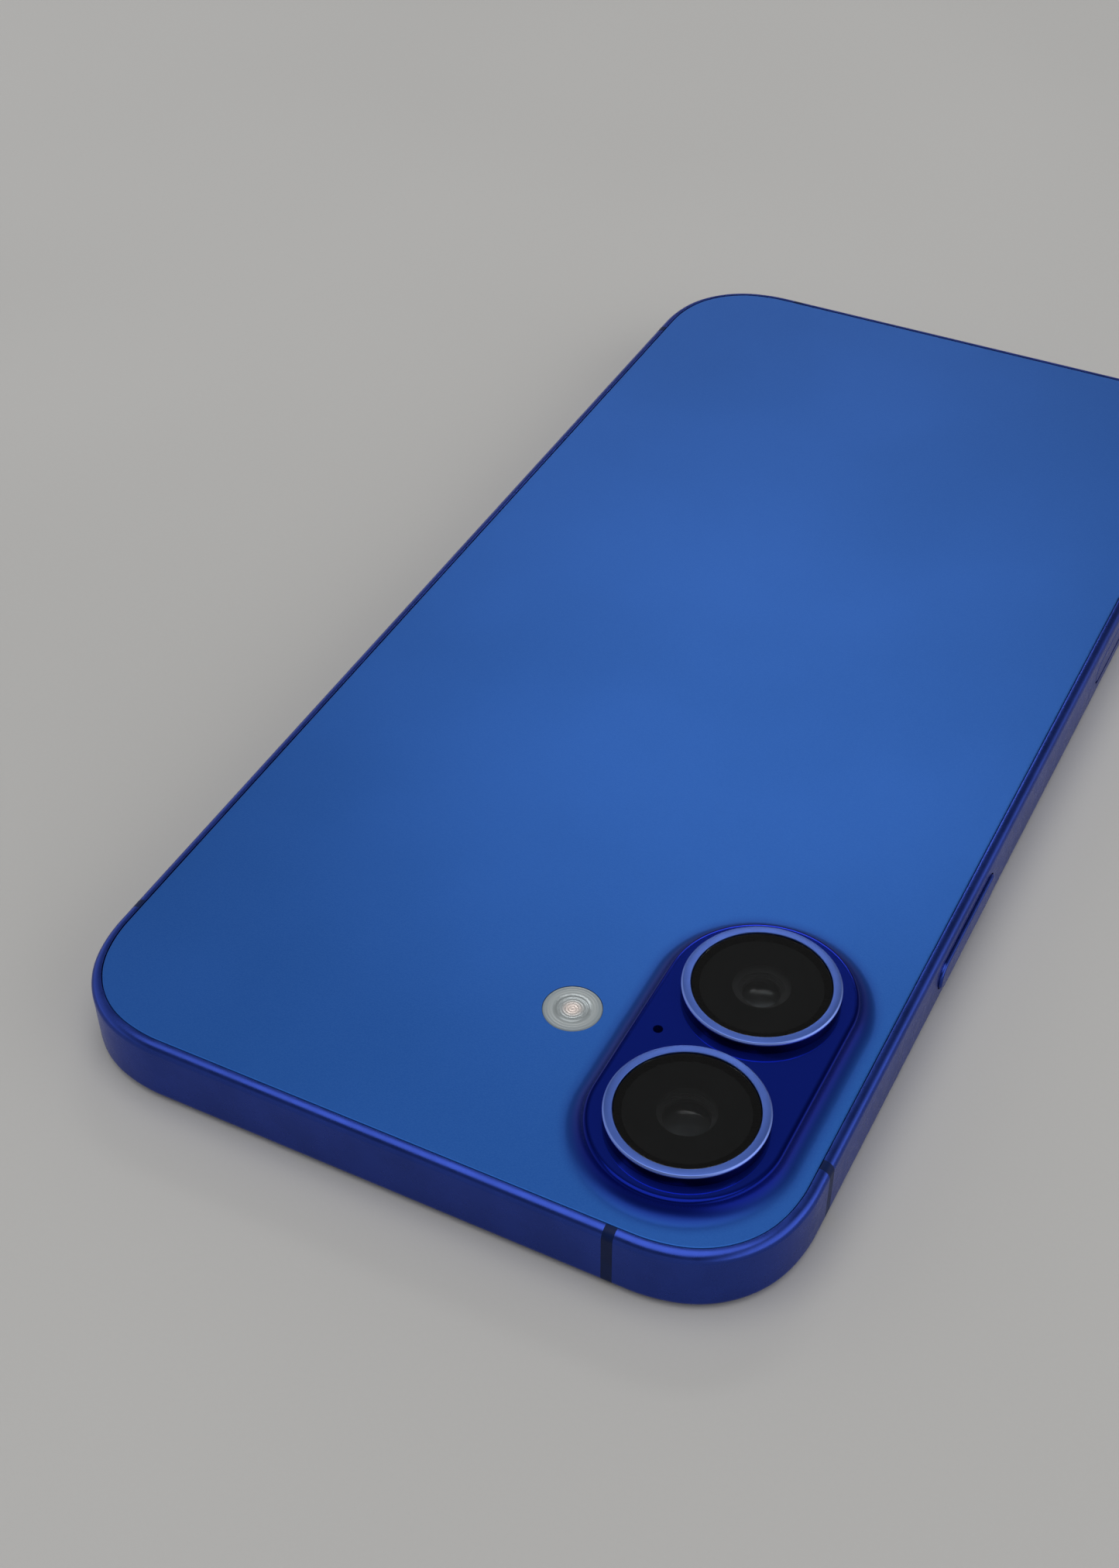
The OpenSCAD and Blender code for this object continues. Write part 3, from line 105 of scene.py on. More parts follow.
# Keys and openings: place along the side, length and height
KEY_GAP, POCKET_D, KEY_ROLL = 0.15, 1.25, 0.3
KEY_PROUD, KEY_TRAVEL, CONTROL_TRAVEL, KEY_SLACK = 0.35, 0.25, 0.15, 0.1
STEM_W, STEM_HOLE, STEM_INSET = 1.3, 1.42, 1.85
CLIP_T, CLIP_H, CLIP_GAP = 0.3, 2.0, 0.05
SIDE_KEY = (HALF_L - 54.4, 17.0, 3.3)
CAMERA_CONTROL = (HALF_L - 110.05, 18.4, 2.9)
ACTION_KEY = (HALF_L - 37.6, 6.6, 3.3)
VOLUME_UP = (HALF_L - 52.2, 11.0, 3.3)
VOLUME_DOWN = (VOLUME_UP[0] - 14.6, 11.0, 3.3)
TRAY = (HALF_L - 86, 16.6, 2.4)
TRAY_POCKET_D, CARD_SLOT = 1.1, (14.6, 1.3)
FIRST_HOLE_X = 11.4
HOLE_PITCH = (EASE_END[0] - 2.64 - FIRST_HOLE_X) / 5
HOLE_R = (HOLE_PITCH - 0.8) / 2
FOOT_SCREW_X, SCREW_HEAD, SCREW_SHANK, HEAD_POCKET_D = 7.6, 2.32, 1.52, 0.75
SOCKET = (8.34 + 0.6, 2.56 + 0.6)

# Inside: the deck, its posts and the front camera
DECK_Z = (1.7, 2.3)
SCREW_BORE_R = 0.66
FRONT_CAMERA = (-6.8, HALF_L - 8.6)


# ---------- Modelling ----------

@contextmanager
def modelling(name):
    """An empty new piece in edit mode; on leaving, its doubles are merged and faces turned out."""
    bpy.ops.object.select_all(action="DESELECT")
    bpy.ops.mesh.primitive_plane_add()
    piece = bpy.context.object
    piece.name = piece.data.name = name
    bpy.ops.object.mode_set(mode="EDIT")
    bpy.ops.mesh.delete(type="VERT")
    yield piece
    join_ends()
    bpy.ops.mesh.normals_make_consistent(inside=False)
    bpy.ops.object.mode_set(mode="OBJECT")


def draw(points):
    """Draws a chain of edges point by point and leaves it selected."""
    places = [Vector(p) * MM for p in points]
    bpy.ops.mesh.select_all(action="DESELECT")
    bpy.ops.mesh.primitive_plane_add(size=0.1 * MM, location=places[0])
    bpy.ops.mesh.merge(type="CENTER")
    for last, place in zip(places, places[1:]):
        bpy.ops.mesh.extrude_region_move(TRANSFORM_OT_translate={"value": place - last})
    bpy.ops.mesh.select_linked()


def push(x, y, z):
    """Extrudes what is selected."""
    bpy.ops.mesh.extrude_region_move(TRANSFORM_OT_translate={"value": Vector((x, y, z)) * MM})


def turn(centre, degrees, steps):
    """Spins what is selected anticlockwise about a vertical axis."""
    bpy.ops.mesh.spin(steps=steps, angle=-math.radians(degrees), axis=(0, 0, 1),
                      center=(centre[0] * MM, centre[1] * MM, 0))


def arc(centre, radius, start, end, steps):
    """Points along an arc, in degrees."""
    turns = [math.radians(start + (end - start) * i / steps) for i in range(steps + 1)]
    return [(centre[0] + radius * math.cos(a), centre[1] + radius * math.sin(a)) for a in turns]


def run_round_outline(section):
    """Runs a section of (distance outwards, Z) points round the handset's outline."""
    draw([(HALF_W + out, 0, z) for out, z in section])
    push(0, EASE_SIDE[1], 0)
    eases = [(EASE_SIDE, EASE_END), (EASE_END, EASE_SIDE)] * 2
    ways = [(1, 1), (-1, 1), (-1, -1), (1, -1)]
    runs = [(-2 * EASE_END[0], 0), (0, -2 * EASE_SIDE[1]), (2 * EASE_END[0], 0), (0, EASE_SIDE[1])]
    for (first, last), (sx, sy), run in zip(eases, ways, runs):
        turn((sx * first[0], sy * first[1]), EASE_TURN, 12)
        turn((sx * CORNER[0], sy * CORNER[1]), CORNER_TURN, 40)
        turn((sx * last[0], sy * last[1]), EASE_TURN, 12)
        push(*run, 0)


def run_round_lenses(section, steps=64):
    """Runs a section of (distance, Z) points round both rear lenses, straight between them."""
    draw([(LENS_X + out, MAIN_Y, z) for out, z in section])
    turn((LENS_X, MAIN_Y), 180, steps)
    push(0, -LENS_PITCH, 0)
    turn((LENS_X, WIDE_Y), 180, steps)
    push(0, LENS_PITCH, 0)


def lathe(centre, section, steps=96):
    """Turns a section of (distance, Z) points round a vertical axis."""
    draw([(centre[0] + out, centre[1], z) for out, z in section])
    turn(centre, 360, steps)


def bore(centre, radius, top, bottom, steps=64):
    """A round hole's wall."""
    bpy.ops.mesh.select_all(action="DESELECT")
    bpy.ops.mesh.primitive_circle_add(vertices=steps, radius=radius * MM,
                                      location=(centre[0] * MM, centre[1] * MM, top * MM))
    push(0, 0, bottom - top)


def select(kind, test):
    """Selects the vertices, edges or faces of the piece in edit mode that pass a test."""
    mesh = bpy.context.object.data
    shape = bmesh.from_edit_mesh(mesh)
    chosen = [part for part in getattr(shape, kind) if test(part)]
    for part in (*shape.faces, *shape.edges, *shape.verts):
        part.select = False
    for part in chosen:
        part.select_set(True)
    bmesh.update_edit_mesh(mesh)


def join_ends(near=JOIN):
    """Merges the doubles that a closed run leaves."""
    bpy.ops.mesh.select_all(action="SELECT")
    bpy.ops.mesh.remove_doubles(threshold=near)


def fill_level(z):
    """Fills between all open edges at a level, leaving holes open."""
    select("edges", lambda e: e.is_boundary and all(abs(v.co.z - z * MM) < 1e-6 for v in e.verts))
    bpy.ops.mesh.fill(use_beauty=True)


def bar(start, run, length, height, steps=16):
    """A round-ended bar from a place along X or Y; its length lies along the other of the two."""
    half, r = (length - height) / 2, height / 2
    rim = arc((half, 0), r, -90, 90, steps) + arc((-half, 0), r, 90, 270, steps) + [(half, -r)]
    if length == height:
        rim = arc((0, 0), r, -90, 270, 2 * steps)
    x, y, z = start
    draw([(x, y + a, z + b) if run[0] else (x + a, y, z + b) for a, b in rim])
    bpy.ops.mesh.remove_doubles(threshold=JOIN)
    bpy.ops.mesh.edge_face_add()
    push(*run)


def pick(piece):
    """Makes a piece the only one selected, and the active one."""
    bpy.ops.object.select_all(action="DESELECT")
    piece.select_set(True)
    bpy.context.view_layer.objects.active = piece


def finish_edges(piece, degrees=28):
    """Smooth shading up to an angle, with flat faces kept flat."""
    pick(piece)
    bpy.ops.object.shade_smooth_by_angle(angle=math.radians(degrees))
    return piece


def even_normals(piece):
    """Lets large flat faces keep their own normals beside rounded edges."""
    pick(piece)
    even = piece.modifiers.new("Even", "WEIGHTED_NORMAL")
    even.keep_sharp = True
    bpy.ops.object.modifier_apply(modifier=even.name)
    return piece


def cut(piece, cutter):
    """Cuts a piece with another, which is then removed."""
    pick(piece)
    knife = piece.modifiers.new("Cut", "BOOLEAN")
    knife.operation, knife.solver = "DIFFERENCE", "EXACT"
    knife.object, knife.use_self = cutter, True
    bpy.ops.object.modifier_apply(modifier=knife.name)
    bpy.data.objects.remove(cutter)


def smooth_copy(node, name, degrees=28):
    """A smoothly shaded piece of a solid's own shape."""
    piece = frame["nodes"][node].copy()
    piece.data = piece.data.copy()
    piece.name = piece.data.name = name
    for key in list(piece.keys()):
        del piece[key]
    piece.parent = None
    bpy.context.scene.collection.objects.link(piece)
    pick(piece)
    bpy.ops.object.mode_set(mode="EDIT")
    join_ends(2e-6)
    bpy.ops.object.mode_set(mode="OBJECT")
    return even_normals(finish_edges(piece, degrees))


def fit(piece, body, nodes, finish):
    """Puts a finished piece in place of solids on one body."""
    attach(piece, body)
    if nodes:
        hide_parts(*nodes)
    piece.data.materials.clear()
    piece.data.materials.append(finish)
    return piece


# ---------- Pieces ----------

def back_panel():
    """The back glass with the camera plateau drawn out of it, one skin."""
    inset, margin = GLASS_INSET, 0.12
    with modelling("back_panel") as piece:
        run_round_outline(
            [(-inset - GLASS_RIM, GLASS_IN), (-inset, GLASS_IN)]
            + arc((-inset - GLASS_EDGE, BODY_T - GLASS_EDGE), GLASS_EDGE, 0, 90, 5)
            + [(-inset - GLASS_EDGE - 0.1, BODY_T)])
        hollow = (PLATEAU_FOOT, BODY_T + HOLLOW_R)
        shoulder = (PLATEAU_R, PLATEAU_Z - SHOULDER_R)
        run_round_lenses(
            [(PLATEAU_FOOT + margin, BODY_T)]
            + arc(hollow, HOLLOW_R, -90, EASE_TURN - 180, 20)
            + arc(shoulder, SHOULDER_R, EASE_TURN, 90, 10)[1:]
            + [(PLATEAU_R - margin, PLATEAU_Z)])
        for lens_y in (MAIN_Y, WIDE_Y):
            bore((LENS_X, lens_y), RING_SLEEVE + SLIP, PLATEAU_Z, GLASS_IN, 96)
        bore(MIC, MIC_R, PLATEAU_Z, GLASS_IN, 32)
        bore(FLASH, FLASH_R, BODY_T, GLASS_IN)
        join_ends()
        for level in (GLASS_IN, BODY_T, PLATEAU_Z):
            fill_level(level)
    return finish_edges(piece)


def stem_places(y, length):
    """The places of a key's two stems along the side."""
    return y - (length / 2 - STEM_INSET), y + (length / 2 - STEM_INSET)


def side_openings():
    """Everything that is cut out of the side band, as solid bars."""
    side_keys = ((-1, (SIDE_KEY, CAMERA_CONTROL)), (1, (ACTION_KEY, VOLUME_UP, VOLUME_DOWN)))
    with modelling("side_openings") as piece:
        for side, keys in side_keys:
            for y, length, height in keys:
                bar((side * (HALF_W + OVER), y, MID_Z), (-side * (POCKET_D + OVER), 0, 0),
                    length + 2 * KEY_GAP, height + 2 * KEY_GAP)
                for stem_y in stem_places(y, length):
                    bar((side * (HALF_W - OVER), stem_y, MID_Z), (-side * 2 * OVER, 0, 0),
                        STEM_HOLE, STEM_HOLE, 8)
        y, length, height = TRAY
        bar((HALF_W + OVER, y, MID_Z), (-TRAY_POCKET_D - OVER, 0, 0),
            length + 2 * KEY_GAP, height + 2 * KEY_GAP)
        bar((HALF_W - OVER, y, MID_Z), (-2 * OVER, 0, 0), *CARD_SLOT)
        foot, through = -HALF_L - OVER, (0, 4 * OVER, 0)
        for side, count in ((-1, 6), (1, 4)):
            screw = (side * FOOT_SCREW_X, foot, MID_Z)
            bar(screw, (0, HEAD_POCKET_D + OVER, 0), SCREW_HEAD, SCREW_HEAD)
            bar(screw, through, SCREW_SHANK, SCREW_SHANK)
            for i in range(count):
                hole_x = side * (FIRST_HOLE_X + i * HOLE_PITCH)
                bar((hole_x, foot, MID_Z), through, 2 * HOLE_R, 2 * HOLE_R)
        bar((0, foot, MID_Z), through, SOCKET[0] + 2 * SLIP, SOCKET[1] + 2 * SLIP, 24)
    return piece


def band_section():
    """Section of the side band: rounded outside, with a ledge for each glass."""
    front, back = DISPLAY_T + SEAL_T, GLASS_IN - SEAL_T
    return ([(-WALL, front), (-LIP, front), (-LIP, DISPLAY_PROUD)]
            + arc((-EDGE_R, DISPLAY_PROUD + EDGE_R), EDGE_R, -90, 0, 10)
            + arc((-EDGE_R, BODY_T - EDGE_R), EDGE_R, 0, 90, 10)
            + [(-LIP, BODY_T), (-LIP, back), (-WALL, back), (-WALL, front)])


def break_places():
    """Where the moulded breaks cross the band: a point of the outline and the way outwards."""
    sides = [((sx * HALF_W, sy * (HALF_L - SIDE_BREAK)), (sx, 0))
             for sx in (-1, 1) for sy in (-1, 1)]
    return sides + [((-END_BREAK, HALF_L), (0, 1)), ((END_BREAK, -HALF_L), (0, -1))]


def side_band():
    """The band round the handset, with its openings and the gaps for the breaks."""
    with modelling("side_band") as piece:
        run_round_outline(band_section())
    inwards, deep, tall = 0.5, 5, 10
    with modelling("break_gaps") as gaps:
        for (x, y), (out_x, out_y) in break_places():
            bpy.ops.mesh.select_all(action="DESELECT")
            bpy.ops.mesh.primitive_cube_add(
                size=1,
                location=((x - out_x * inwards) * MM, (y - out_y * inwards) * MM, MID_Z * MM),
                scale=((BREAK_W + abs(out_x) * deep) * MM, (BREAK_W + abs(out_y) * deep) * MM,
                       tall * MM))
    cut(piece, side_openings())
    cut(piece, gaps)
    return even_normals(finish_edges(piece))


def moulded_breaks():
    """The six resin fillings, each with the band's own section."""
    with modelling("moulded_breaks") as piece:
        for (x, y), (out_x, out_y) in break_places():
            half = BREAK_W / 2
            draw([(x + out_x * out - out_y * half, y + out_y * out + out_x * half, z)
                  for out, z in band_section()])
            bpy.ops.mesh.remove_doubles(threshold=JOIN)
            bpy.ops.mesh.edge_face_add()
            push(out_y * BREAK_W, -out_x * BREAK_W, 0)
    return even_normals(finish_edges(piece))


def deck_plate():
    """The deck inside the band, with its openings and the posts that screws go into."""
    low, high = DECK_Z
    wells = [((0, FRONT_CAMERA[1]), (26.4, 6.9)), ((23.7, 62.25), (11, 1.6))]
    low_post, high_post = (1.5, 2.55), (1.4, 6.0)
    posts = [((x, y), *low_post) for x in (15.2, 32.7) for y in (-41.95, 58.05)]
    posts += [(place, *high_post) for place in
              ((-34.35, MAIN_Y - 2), (-15.55, MAIN_Y), (-15.55, WIDE_Y))]
    with modelling("deck_plate") as piece:
        run_round_outline([(-WALL + 0.4, low), (-WALL + 0.4, high)])
        for (x, y), size in wells:
            middle = Vector((x, y, high)) * MM
            bpy.ops.mesh.select_all(action="DESELECT")
            bpy.ops.mesh.primitive_circle_add(
                vertices=4, radius=MM / math.sqrt(2), rotation=(0, 0, math.pi / 4), location=middle)
            bpy.ops.transform.resize(value=(*size, 1), center_override=middle)
            push(0, 0, low - high)
        for place, _, _ in posts:
            bore(place, SCREW_BORE_R, high, low, 24)
        join_ends()
        for level in (low, high):
            fill_level(level)
        for place, radius, top in posts:
            lathe(place, [(SCREW_BORE_R, high - 0.05), (radius, high - 0.05), (radius, top),
                          (SCREW_BORE_R, top), (SCREW_BORE_R, high - 0.05)], 32)
    return even_normals(finish_edges(piece))


def display_cover():
    """The front glass, its outer edge rounded, with the earpiece's slot."""
    inset, edge, slot = GLASS_INSET, 0.35, (12, 1.6)
    with modelling("display_cover") as piece:
        run_round_outline(
            [(-inset - GLASS_RIM, DISPLAY_T), (-inset, DISPLAY_T)]
            + arc((-inset - edge, edge), edge, 0, -90, 8)
            + [(-inset - edge - 0.15, 0)])
        join_ends()
        for level in (0, DISPLAY_T):
            fill_level(level)
    with modelling("earpiece_slot") as slot_block:
        bpy.ops.mesh.primitive_cube_add(size=1, location=(0, (HALF_L - inset + 0.2) * MM, 0),
                                        scale=(slot[0] * MM, slot[1] * MM, 4 * MM))
    cut(piece, slot_block)
    return even_normals(finish_edges(piece))


def lens_ring(name, lens_y):
    """A turned ring: sleeve in the plateau, seat for the cover, chamfer outside, made brighter by a
    painted highlight in its finish.
    """
    foot, soft = GLASS_IN - 0.15, 0.05
    with modelling(name) as piece:
        lathe((LENS_X, lens_y), [
            (RING_BORE, foot), (RING_SLEEVE, foot), (RING_SLEEVE, PLATEAU_Z),
            (RING_R - soft, PLATEAU_Z), (RING_R, PLATEAU_Z + soft),
            (RING_R, RING_TOP - RING_CHAMFER - soft),
            (RING_R - 0.3 * soft, RING_TOP - RING_CHAMFER),
            (RING_R - RING_CHAMFER, RING_TOP - 0.3 * soft),
            (RING_R - RING_CHAMFER - soft, RING_TOP), (COVER_R + SLIP + soft, RING_TOP),
            (COVER_R + SLIP, RING_TOP - soft), (COVER_R + SLIP, COVER_Z), (RING_BORE, COVER_Z),
            (RING_BORE, foot)], 160)
    return even_normals(finish_edges(piece, 20))


def lens_cover(name, lens_y):
    """A round glass; black is printed on its inner face all round a clear middle."""
    with modelling(name) as piece:
        lathe((LENS_X, lens_y), [(0, COVER_Z), (CLEAR_R, COVER_Z), (COVER_R, COVER_Z)]
              + arc((COVER_R - 0.08, COVER_Z + COVER_T - 0.08), 0.08, 0, 90, 4)
              + [(0, COVER_Z + COVER_T)], 160)
    return even_normals(finish_edges(piece))


def lens_barrel(name, lens_y, radius):
    """A barrel whose front opening narrows in steps."""
    foot, top, wall, roll = BARREL_FOOT, BARREL_TOP, BARREL_WALL, 0.6
    iris = IRIS_SHARE * radius
    mouth, step = iris + 0.5, 0.1
    steps = [point for i in range(5) for point in
             ((mouth - step * i, top - step * i), (mouth - step * i, top - step * (i + 1)))]
    with modelling(name) as piece:
        lathe((LENS_X, lens_y), [(radius - wall, foot), (radius, foot), (radius, top - roll)]
              + arc((radius - roll, top - roll), roll, 0, 90, 6)[1:]
              + steps
              + [(iris, top - wall), (radius - wall, top - wall), (radius - wall, foot)], 128)
    return even_normals(finish_edges(piece))


def lens_stack(name, lens_y, barrel_radius):
    """Four glass elements, each with a flat back and a crowned front."""
    room = (BARREL_TOP - BARREL_WALL - BARREL_FOOT) / ELEMENTS
    r = barrel_radius - BARREL_WALL - SLIP
    thick, crown = 0.35 * room, 0.5 * room
    ball = (r * r + crown * crown) / (2 * crown)
    half_angle = math.degrees(math.asin(r / ball))
    with modelling(name) as piece:
        for i in range(ELEMENTS):
            low = BARREL_FOOT + 0.1 + i * room
            lathe((LENS_X, lens_y), [(0, low), (r, low)]
                  + arc((0, low + thick + crown - ball), ball, 90 - half_angle, 90, 12), 96)
    return finish_edges(piece, 40)


def flash_window():
    """The flash lens: flat outside, fine stepped rings inside, a flange under the back glass."""
    foot, flange, wall = FLASH_FOOT, FLASH_R + FLASH_FLANGE, FLASH_R - 0.03
    apart, crest, height = 0.001, 0.12, 0.14
    rings = []
    for i in range(FRESNEL_RINGS):
        r = FRESNEL_PITCH * i
        rings += [(r + apart, foot), (r + crest, foot + height), (r + FRESNEL_PITCH - apart, foot)]
    with modelling("flash_window") as piece:
        lathe(FLASH, [(0, foot)] + rings + [
            (flange - 0.1, foot), (flange, foot + 0.1), (flange, GLASS_IN), (wall, GLASS_IN),
            (wall, BODY_T - 0.06), (wall - 0.06, BODY_T), (0, BODY_T)], 96)
    return even_normals(finish_edges(piece, 20))


def key_piece(name, side, place, proud, travel):
    """One key: a cap with a rolled edge, two stems through the band and the clip behind them."""
    y, length, height = place
    cap_foot, stem_foot = POCKET_D - travel - KEY_SLACK, WALL + CLIP_GAP + CLIP_T
    face, stems = HALF_W + proud, stem_places(y, length)
    with modelling(name) as piece:
        bar((side * (HALF_W - cap_foot), y, MID_Z), (side * (cap_foot + proud), 0, 0),
            length, height, 20)
        select("edges", lambda e: all(abs(abs(v.co.x) - face * MM) < 1e-6 for v in e.verts))
        bpy.ops.mesh.bevel(offset=KEY_ROLL * MM, segments=6)
        for stem_y in stems:
            bar((side * (HALF_W - stem_foot), stem_y, MID_Z),
                (side * (stem_foot - cap_foot + KEY_SLACK), 0, 0), STEM_W, STEM_W, 10)
        bar((side * (HALF_W - stem_foot), y, MID_Z), (side * CLIP_T, 0, 0),
            stems[1] - stems[0] + CLIP_H, CLIP_H)
    return even_normals(finish_edges(piece, 35))


# ---------- Finishes ----------

class Wire:
    """An output of a graph's nodes. Arithmetic on it adds the Math nodes that it needs."""

    def __init__(self, graph, socket):
        self.graph, self.socket = graph, socket

    def maths(self, operation, *values):
        inputs = dict(enumerate((self, *values)))
        return self.graph.node("ShaderNodeMath", {"operation": operation}, inputs)

    def __add__(self, other):
        return self.maths("ADD", other)

    def __mul__(self, other):
        return self.maths("MULTIPLY", other)

    def __sub__(self, other):
        return self.maths("SUBTRACT", other)

    def __pow__(self, other):
        return self.maths("POWER", other)

    def __gt__(self, other):
        return self.maths("GREATER_THAN", other)

    def __lt__(self, other):
        return self.maths("LESS_THAN", other)

    def __abs__(self):
        return self.maths("ABSOLUTE")


class Graph:
    """The node tree of a material or of the world, built node by node."""

    def __init__(self, owner):
        owner.use_nodes = True
        self.tree = owner.node_tree
        self.tree.nodes.clear()

    def node(self, kind, settings=None, inputs=None, out=0):
        """Adds a node: its settings first, then a value or a wire for each socket."""
        node = self.tree.nodes.new(kind)
        for key, value in (settings or {}).items():
            if key == "stops":
                ramp = node.color_ramp
                while len(ramp.elements) < len(value):
                    ramp.elements.new(0.5)
                for element, (at, colour) in zip(ramp.elements, value):
                    element.position, element.color = at, (*colour, 1)
            else:
                setattr(node, key, value)
        for key, value in (inputs or {}).items():
            socket = node.inputs[key]
            if isinstance(value, Wire):
                self.tree.links.new(value.socket, socket)
            elif socket.type == "RGBA" and len(value) == 3:
                socket.default_value = (*value, 1)
            else:
                socket.default_value = value
        return node if out is None else Wire(self, node.outputs[out])

    def split(self, vector):
        """The three parts of a vector."""
        parts = self.node("ShaderNodeSeparateXYZ", {}, {0: vector}, out=None)
        return [Wire(self, output) for output in parts.outputs]

    def fade(self, value, start, end, low=0.0, high=1.0):
        """A smooth change from low to high as a value goes from start to end."""
        return self.node("ShaderNodeMapRange", {"interpolation_type": "SMOOTHSTEP"}, {
            "Value": value, "From Min": start, "From Max": end, "To Min": low, "To Max": high})

    def blend(self, factor, first, second):
        """A colour between two, by a factor."""
        mix = self.node("ShaderNodeMix", {"data_type": "RGBA"}, {0: factor, 6: first, 7: second},
                        out=None)
        return Wire(self, mix.outputs[2])


class Finish(Graph):
    """A material; everything in it reads Object coordinates, in millimetres."""

    def __init__(self, name):
        self.material = bpy.data.materials.new(name)
        super().__init__(self.material)
        place = self.node("ShaderNodeTexCoord", out="Object")
        self.place = self.node("ShaderNodeVectorMath", {"operation": "SCALE"},
                               {0: place, "Scale": 1000.0})
        self.x, self.y, self.z = self.split(self.place)

    def noise(self, size, detail=2.0, roughness=0.5, stretch=(1, 1, 1)):
        """Noise from 0 to 1 with grains about so many millimetres across."""
        place = self.node("ShaderNodeVectorMath", {"operation": "MULTIPLY"},
                          {0: self.place, 1: stretch})
        return self.node("ShaderNodeTexNoise", {}, {
            "Vector": place, "Scale": 1 / size, "Detail": detail, "Roughness": roughness})

    def shaded(self, colour, amount, size=3.0, detail=3.0):
        """A colour with a soft unevenness."""
        dark = tuple(c * (1 - amount) for c in colour)
        light = tuple(min(1, c * (1 + amount)) for c in colour)
        return self.blend(self.uneven(size, 0.0, 1.0, detail), dark, light)

    def uneven(self, size, low, high, detail=2.0):
        """A number that wanders between two over the surface."""
        return self.fade(self.noise(size, detail), 0.3, 0.7, low, high)

    def waves(self, value, pitch):
        """A sine wave along a value."""
        return (value * (2 * math.pi / pitch)).maths("SINE")

    def away_from(self, x, y):
        """Distance from a vertical axis."""
        return ((self.x - x) ** 2 + (self.y - y) ** 2) ** 0.5

    def bump(self, height, distance):
        """A normal from heights of 0 to 1 that stand so many millimetres high."""
        return self.node("ShaderNodeBump", {}, {
            "Height": height, "Distance": distance * MM, "Strength": 1.0})

    def surface(self, **sockets):
        """Ends the finish in one shader; its sockets are named with _ for spaces."""
        inputs = {key.replace("_", " "): value for key, value in sockets.items()}
        shader = self.node("ShaderNodeBsdfPrincipled", {}, inputs)
        self.node("ShaderNodeOutputMaterial", {}, {"Surface": shader}, out=None)
        return self.material


def srgb(red, green, blue):
    """A colour from its screen values of 0 to 255."""
    return tuple(((c / 255 + 0.055) / 1.055) ** 2.4 if c > 10.3 else c / 255 / 12.92
                 for c in (red, green, blue))


def from_lens_line(finish):
    """Distance from the line between the two rear lenses."""
    over = finish.node("ShaderNodeClamp", {}, {"Value": finish.y, "Min": WIDE_Y, "Max": MAIN_Y})
    return ((finish.x - LENS_X) ** 2 + (finish.y - over) ** 2) ** 0.5


def etched_back():
    """Blue metallic paint under glass: matt, with painted shade and painted reflection darkening it
    down the hollow and over the shoulder, to a glossy plateau.
    """
    f = Finish("etched_back")
    away = from_lens_line(f)
    grain = f.noise(0.16, 2.0, 0.6)
    cloud = f.uneven(34.0, 0.0, 1.0)
    matt = f.blend(cloud, srgb(33, 85, 163), srgb(38, 90, 171))
    matt = f.blend(f.fade(grain, 0.25, 0.75, 0.0, 0.16), matt, srgb(64, 115, 186))
    # Painted shade and painted reflection: the dark blue round the plateau stands in for its shade
    # and for the plateau's side mirrored in the hollow.
    hollow = f.blend(f.fade(away, 12.4, 9.8), matt, srgb(8, 24, 112))
    return f.surface(
        # Painted shade: the hollow's dark blue also covers the shoulder, to dim its highlight; the
        # plateau's flat top gets its own blue.
        Base_Color=f.blend(f.fade(away, 9.4, 9.0), hollow, srgb(30, 54, 184)),
        Metallic=f.fade(away, 11.0, 9.2, 0.62, 0.92),
        Roughness=f.fade(away, 10.3, 9.0, 0.37, 0.07) + (grain - 0.5) * 0.05,
        Specular_IOR_Level=0.15,
        Normal=f.bump(grain * f.fade(away, 9.6, 12.0), 0.006))


def anodised(name, colour):
    """Blasted and anodised aluminium, its dye still seen at a low angle."""
    f = Finish(name)
    grain = f.noise(0.09, 2.0, 0.65)
    return f.surface(
        Base_Color=f.blend(f.fade(grain, 0.2, 0.8),
                           f.shaded(colour, 0.05, 9.0), f.shaded(colour, 0.14, 5.0)),
        Metallic=1.0, Specular_Tint=(0.74, 0.77, 1.0),
        Roughness=f.fade(f.noise(1.4, 3.0), 0.2, 0.8, 0.24, 0.32), Normal=f.bump(grain, 0.002))


def turned_ring(name, lens_y):
    """Anodised and turned on its face, with a painted highlight on its outer edge; painted shade
    and painted reflection darken its side, which is also smoother.
    """
    f = Finish(name)
    away = f.away_from(LENS_X, lens_y)
    # Painted shade and painted reflection: the side is coloured dark navy, standing in for the
    # shade under the ring's edge and the dark plateau mirrored in it.
    side = f.fade(f.z, RING_TOP - RING_CHAMFER - 0.05, RING_TOP - RING_CHAMFER - 0.2)
    # Painted highlight: the outer chamfer is coloured lighter for the bright line that light draws
    # along it.
    edge = f.fade(away, RING_R - RING_CHAMFER - 0.08, RING_R - RING_CHAMFER)
    colour = f.blend(edge, f.shaded(srgb(76, 101, 176), 0.06, 4.0), srgb(118, 142, 218))
    marks = (away * 60.0).maths("SINE") * 0.12 + f.noise(0.09, 2.0, 0.65) * 0.4
    return f.surface(
        Base_Color=f.blend(side, colour, srgb(6, 8, 52)), Metallic=f.fade(side, 0, 1, 1.0, 0.8),
        Roughness=f.fade(side, 0, 1, 0.36, 0.15), Normal=f.bump(marks, 0.004))


def moulded(name, colour, roughness=0.5, grain=0.12, depth=0.006, **more):
    """Moulded resin or rubber with a spark-eroded grain."""
    f = Finish(name)
    pits = f.noise(grain, 3.0, 0.6)
    return f.surface(
        Base_Color=f.shaded(colour, 0.12, 2.0),
        Roughness=f.fade(pits, 0.2, 0.8, roughness - 0.07, roughness + 0.07),
        Normal=f.bump(pits, depth), **more)


